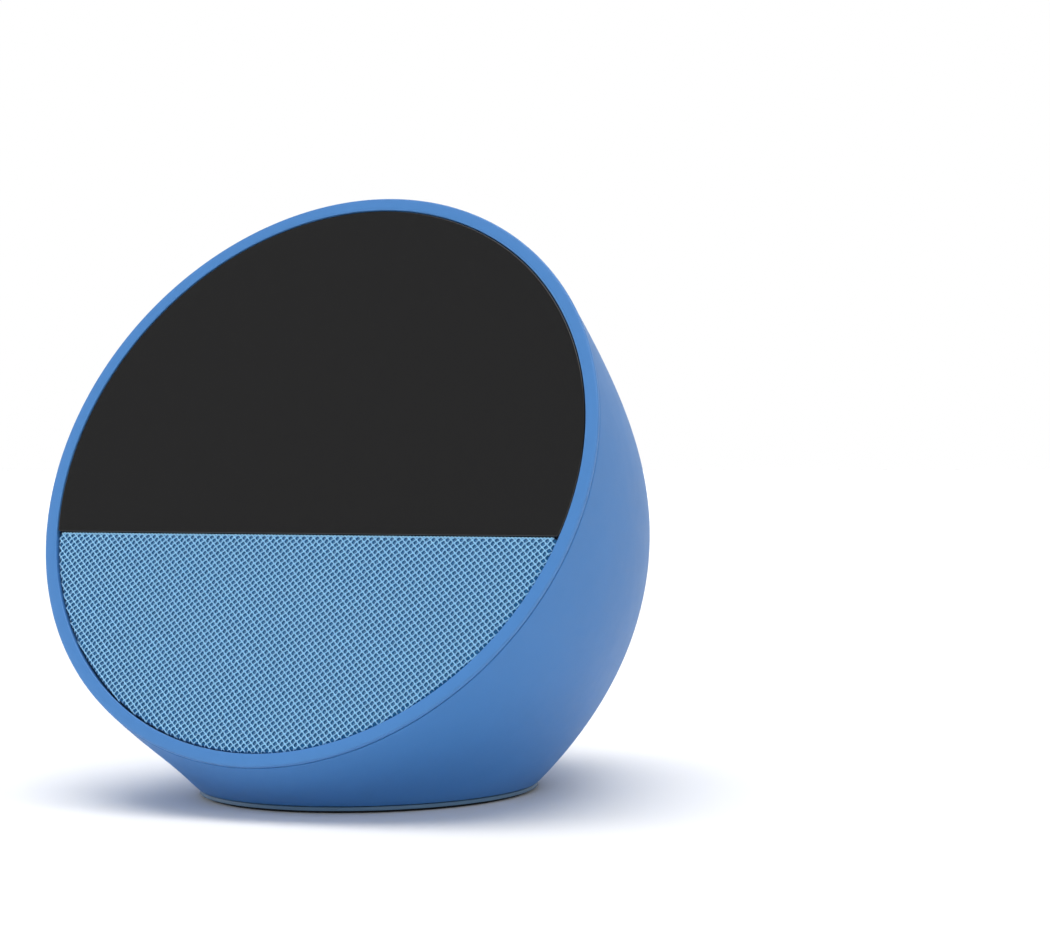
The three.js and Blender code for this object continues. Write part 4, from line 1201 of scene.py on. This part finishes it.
class DISPLAY_OT_stage(bpy.types.Operator):
    """Pale floor, soft studio lights, an even pale world, and the camera."""

    bl_idname = "display.stage"
    bl_label = "Stage, lights and camera"

    CAMERA_PLACE = (0.2964, -0.5024, 0.0795)
    CAMERA_AIM = (-0.4627, 0.8858, -0.0357)
    CAMERA_ROLL = -1.093
    LENS = 107.5
    # ends where the lamps still light it fully, so its edge doesn't show against the white world
    FLOOR_HALF = 1500
    # name, place, watts and width
    LAMPS = (
        ("key", (1.1, -1.3, 1.2), 8.0, 0.9),
        ("left", (-1.5, -0.5, 0.5), 5.0, 0.9),
        ("rear", (-0.6, 1.5, 0.9), 8.0, 1.0),
    )

    def execute(self, context):
        half = self.FLOOR_HALF
        corners = [(-half, -half, 0), (half, -half, 0), (half, half, 0), (-half, half, 0)]
        floor = new_piece("floor", np.array(corners, float), quads=[[0, 1, 2, 3]])
        ground = Finish("pale_floor", Roughness=0.9, Specular_IOR_Level=0.1)
        ground.set("Base Color", ground.blend(ground.noise(2.0, 2), (0.86, 0.86, 0.87), (0.88, 0.88, 0.88)))
        paint(floor, ground.material)
        self.surroundings()
        for lamp in self.LAMPS:
            self.light(*lamp)
        self.camera()
        context.scene.view_settings.view_transform = "Standard"
        return {"FINISHED"}

    @staticmethod
    def surroundings():
        """A studio world by the height of the direction: white low down all round, dim grey higher up, and a
        round soft light straight overhead."""
        world = bpy.data.worlds.new("studio")
        bpy.context.scene.world = world
        world.use_nodes = True
        tree = world.node_tree
        coords = tree.nodes.new("ShaderNodeTexCoord")
        split = tree.nodes.new("ShaderNodeSeparateXYZ")
        ramp = tree.nodes.new("ShaderNodeValToRGB")
        tree.links.new(coords.outputs["Generated"], split.inputs["Vector"])
        tree.links.new(split.outputs["Z"], ramp.inputs["Fac"])
        low, high = ramp.color_ramp.elements
        low.position, low.color = 0.22, (1.0, 1.0, 1.0, 1.0)
        high.position, high.color = 0.52, (0.2, 0.2, 0.2, 1.0)
        for position, value in [(0.86, 0.2), (0.93, 4.0)]:
            ramp.color_ramp.elements.new(position).color = (value, value, value, 1.0)
        tree.links.new(ramp.outputs["Color"], tree.nodes["Background"].inputs["Color"])

    @staticmethod
    def light(name, place, power, size):
        """A square soft light that looks at the middle of the display."""
        data = bpy.data.lights.new(name, "AREA")
        data.energy = power
        data.size = size
        lamp = bpy.data.objects.new(name, data)
        bpy.context.scene.collection.objects.link(lamp)
        place = np.array(place)
        lamp.matrix_world = looking(place, np.array([0.0, 0.0, 0.05]) - place, 0.0)

    def camera(self):
        data = bpy.data.cameras.new("camera")
        data.sensor_fit = "HORIZONTAL"
        data.sensor_width = 36.0
        data.lens = self.LENS
        data.clip_start = 0.01
        camera = bpy.data.objects.new("camera", data)
        bpy.context.scene.collection.objects.link(camera)
        camera.matrix_world = looking(np.array(self.CAMERA_PLACE), np.array(self.CAMERA_AIM),
                                      math.radians(self.CAMERA_ROLL))
        bpy.context.scene.camera = camera


def looking(place, aim, roll):
    """Placement whose -Z looks along aim, with +Z of the world up, then rolled about the line of sight."""
    aim = aim / np.linalg.norm(aim)
    right = np.cross(aim, UPRIGHT)
    right = right / np.linalg.norm(right)
    up = np.cross(right, aim)
    turned_right = right * math.cos(roll) + up * math.sin(roll)
    turned_up = up * math.cos(roll) - right * math.sin(roll)
    placed = np.eye(4)
    placed[:3, 0], placed[:3, 1], placed[:3, 2], placed[:3, 3] = turned_right, turned_up, -aim, place
    return Matrix(placed.tolist())


# ---------------------------------------------------------------- panel and registration

STEPS = (DISPLAY_OT_stage, DISPLAY_OT_housing, DISPLAY_OT_bezel, DISPLAY_OT_glass, DISPLAY_OT_grille,
         DISPLAY_OT_buttons, DISPLAY_OT_base, DISPLAY_OT_socket, DISPLAY_OT_cone, DISPLAY_OT_inner)


class DISPLAY_PT_panel(bpy.types.Panel):
    """Lists the sizes, the colours and the building steps."""

    bl_idname = "DISPLAY_PT_panel"
    bl_label = "Smart display"
    bl_space_type = "VIEW_3D"
    bl_region_type = "UI"
    bl_category = "Smart display"

    def draw(self, context):
        layout = self.layout
        for group in (context.scene.display_sizes, context.scene.display_colours):
            box = layout.box()
            for name in group.__annotations__:
                box.prop(group, name)
        for step in STEPS:
            layout.operator(step.bl_idname)


CLASSES = (DisplaySizes, DisplayColours, *STEPS, DISPLAY_PT_panel)


def register():
    for item in CLASSES:
        bpy.utils.register_class(item)
    bpy.types.Scene.display_sizes = bpy.props.PointerProperty(type=DisplaySizes)
    bpy.types.Scene.display_colours = bpy.props.PointerProperty(type=DisplayColours)


def unregister():
    del bpy.types.Scene.display_colours
    del bpy.types.Scene.display_sizes
    for item in reversed(CLASSES):
        bpy.utils.unregister_class(item)


def main():
    register()
    for step in STEPS:
        group, name = step.bl_idname.split(".")
        getattr(getattr(bpy.ops, group), name)()


if __name__ == "__main__":
    main()
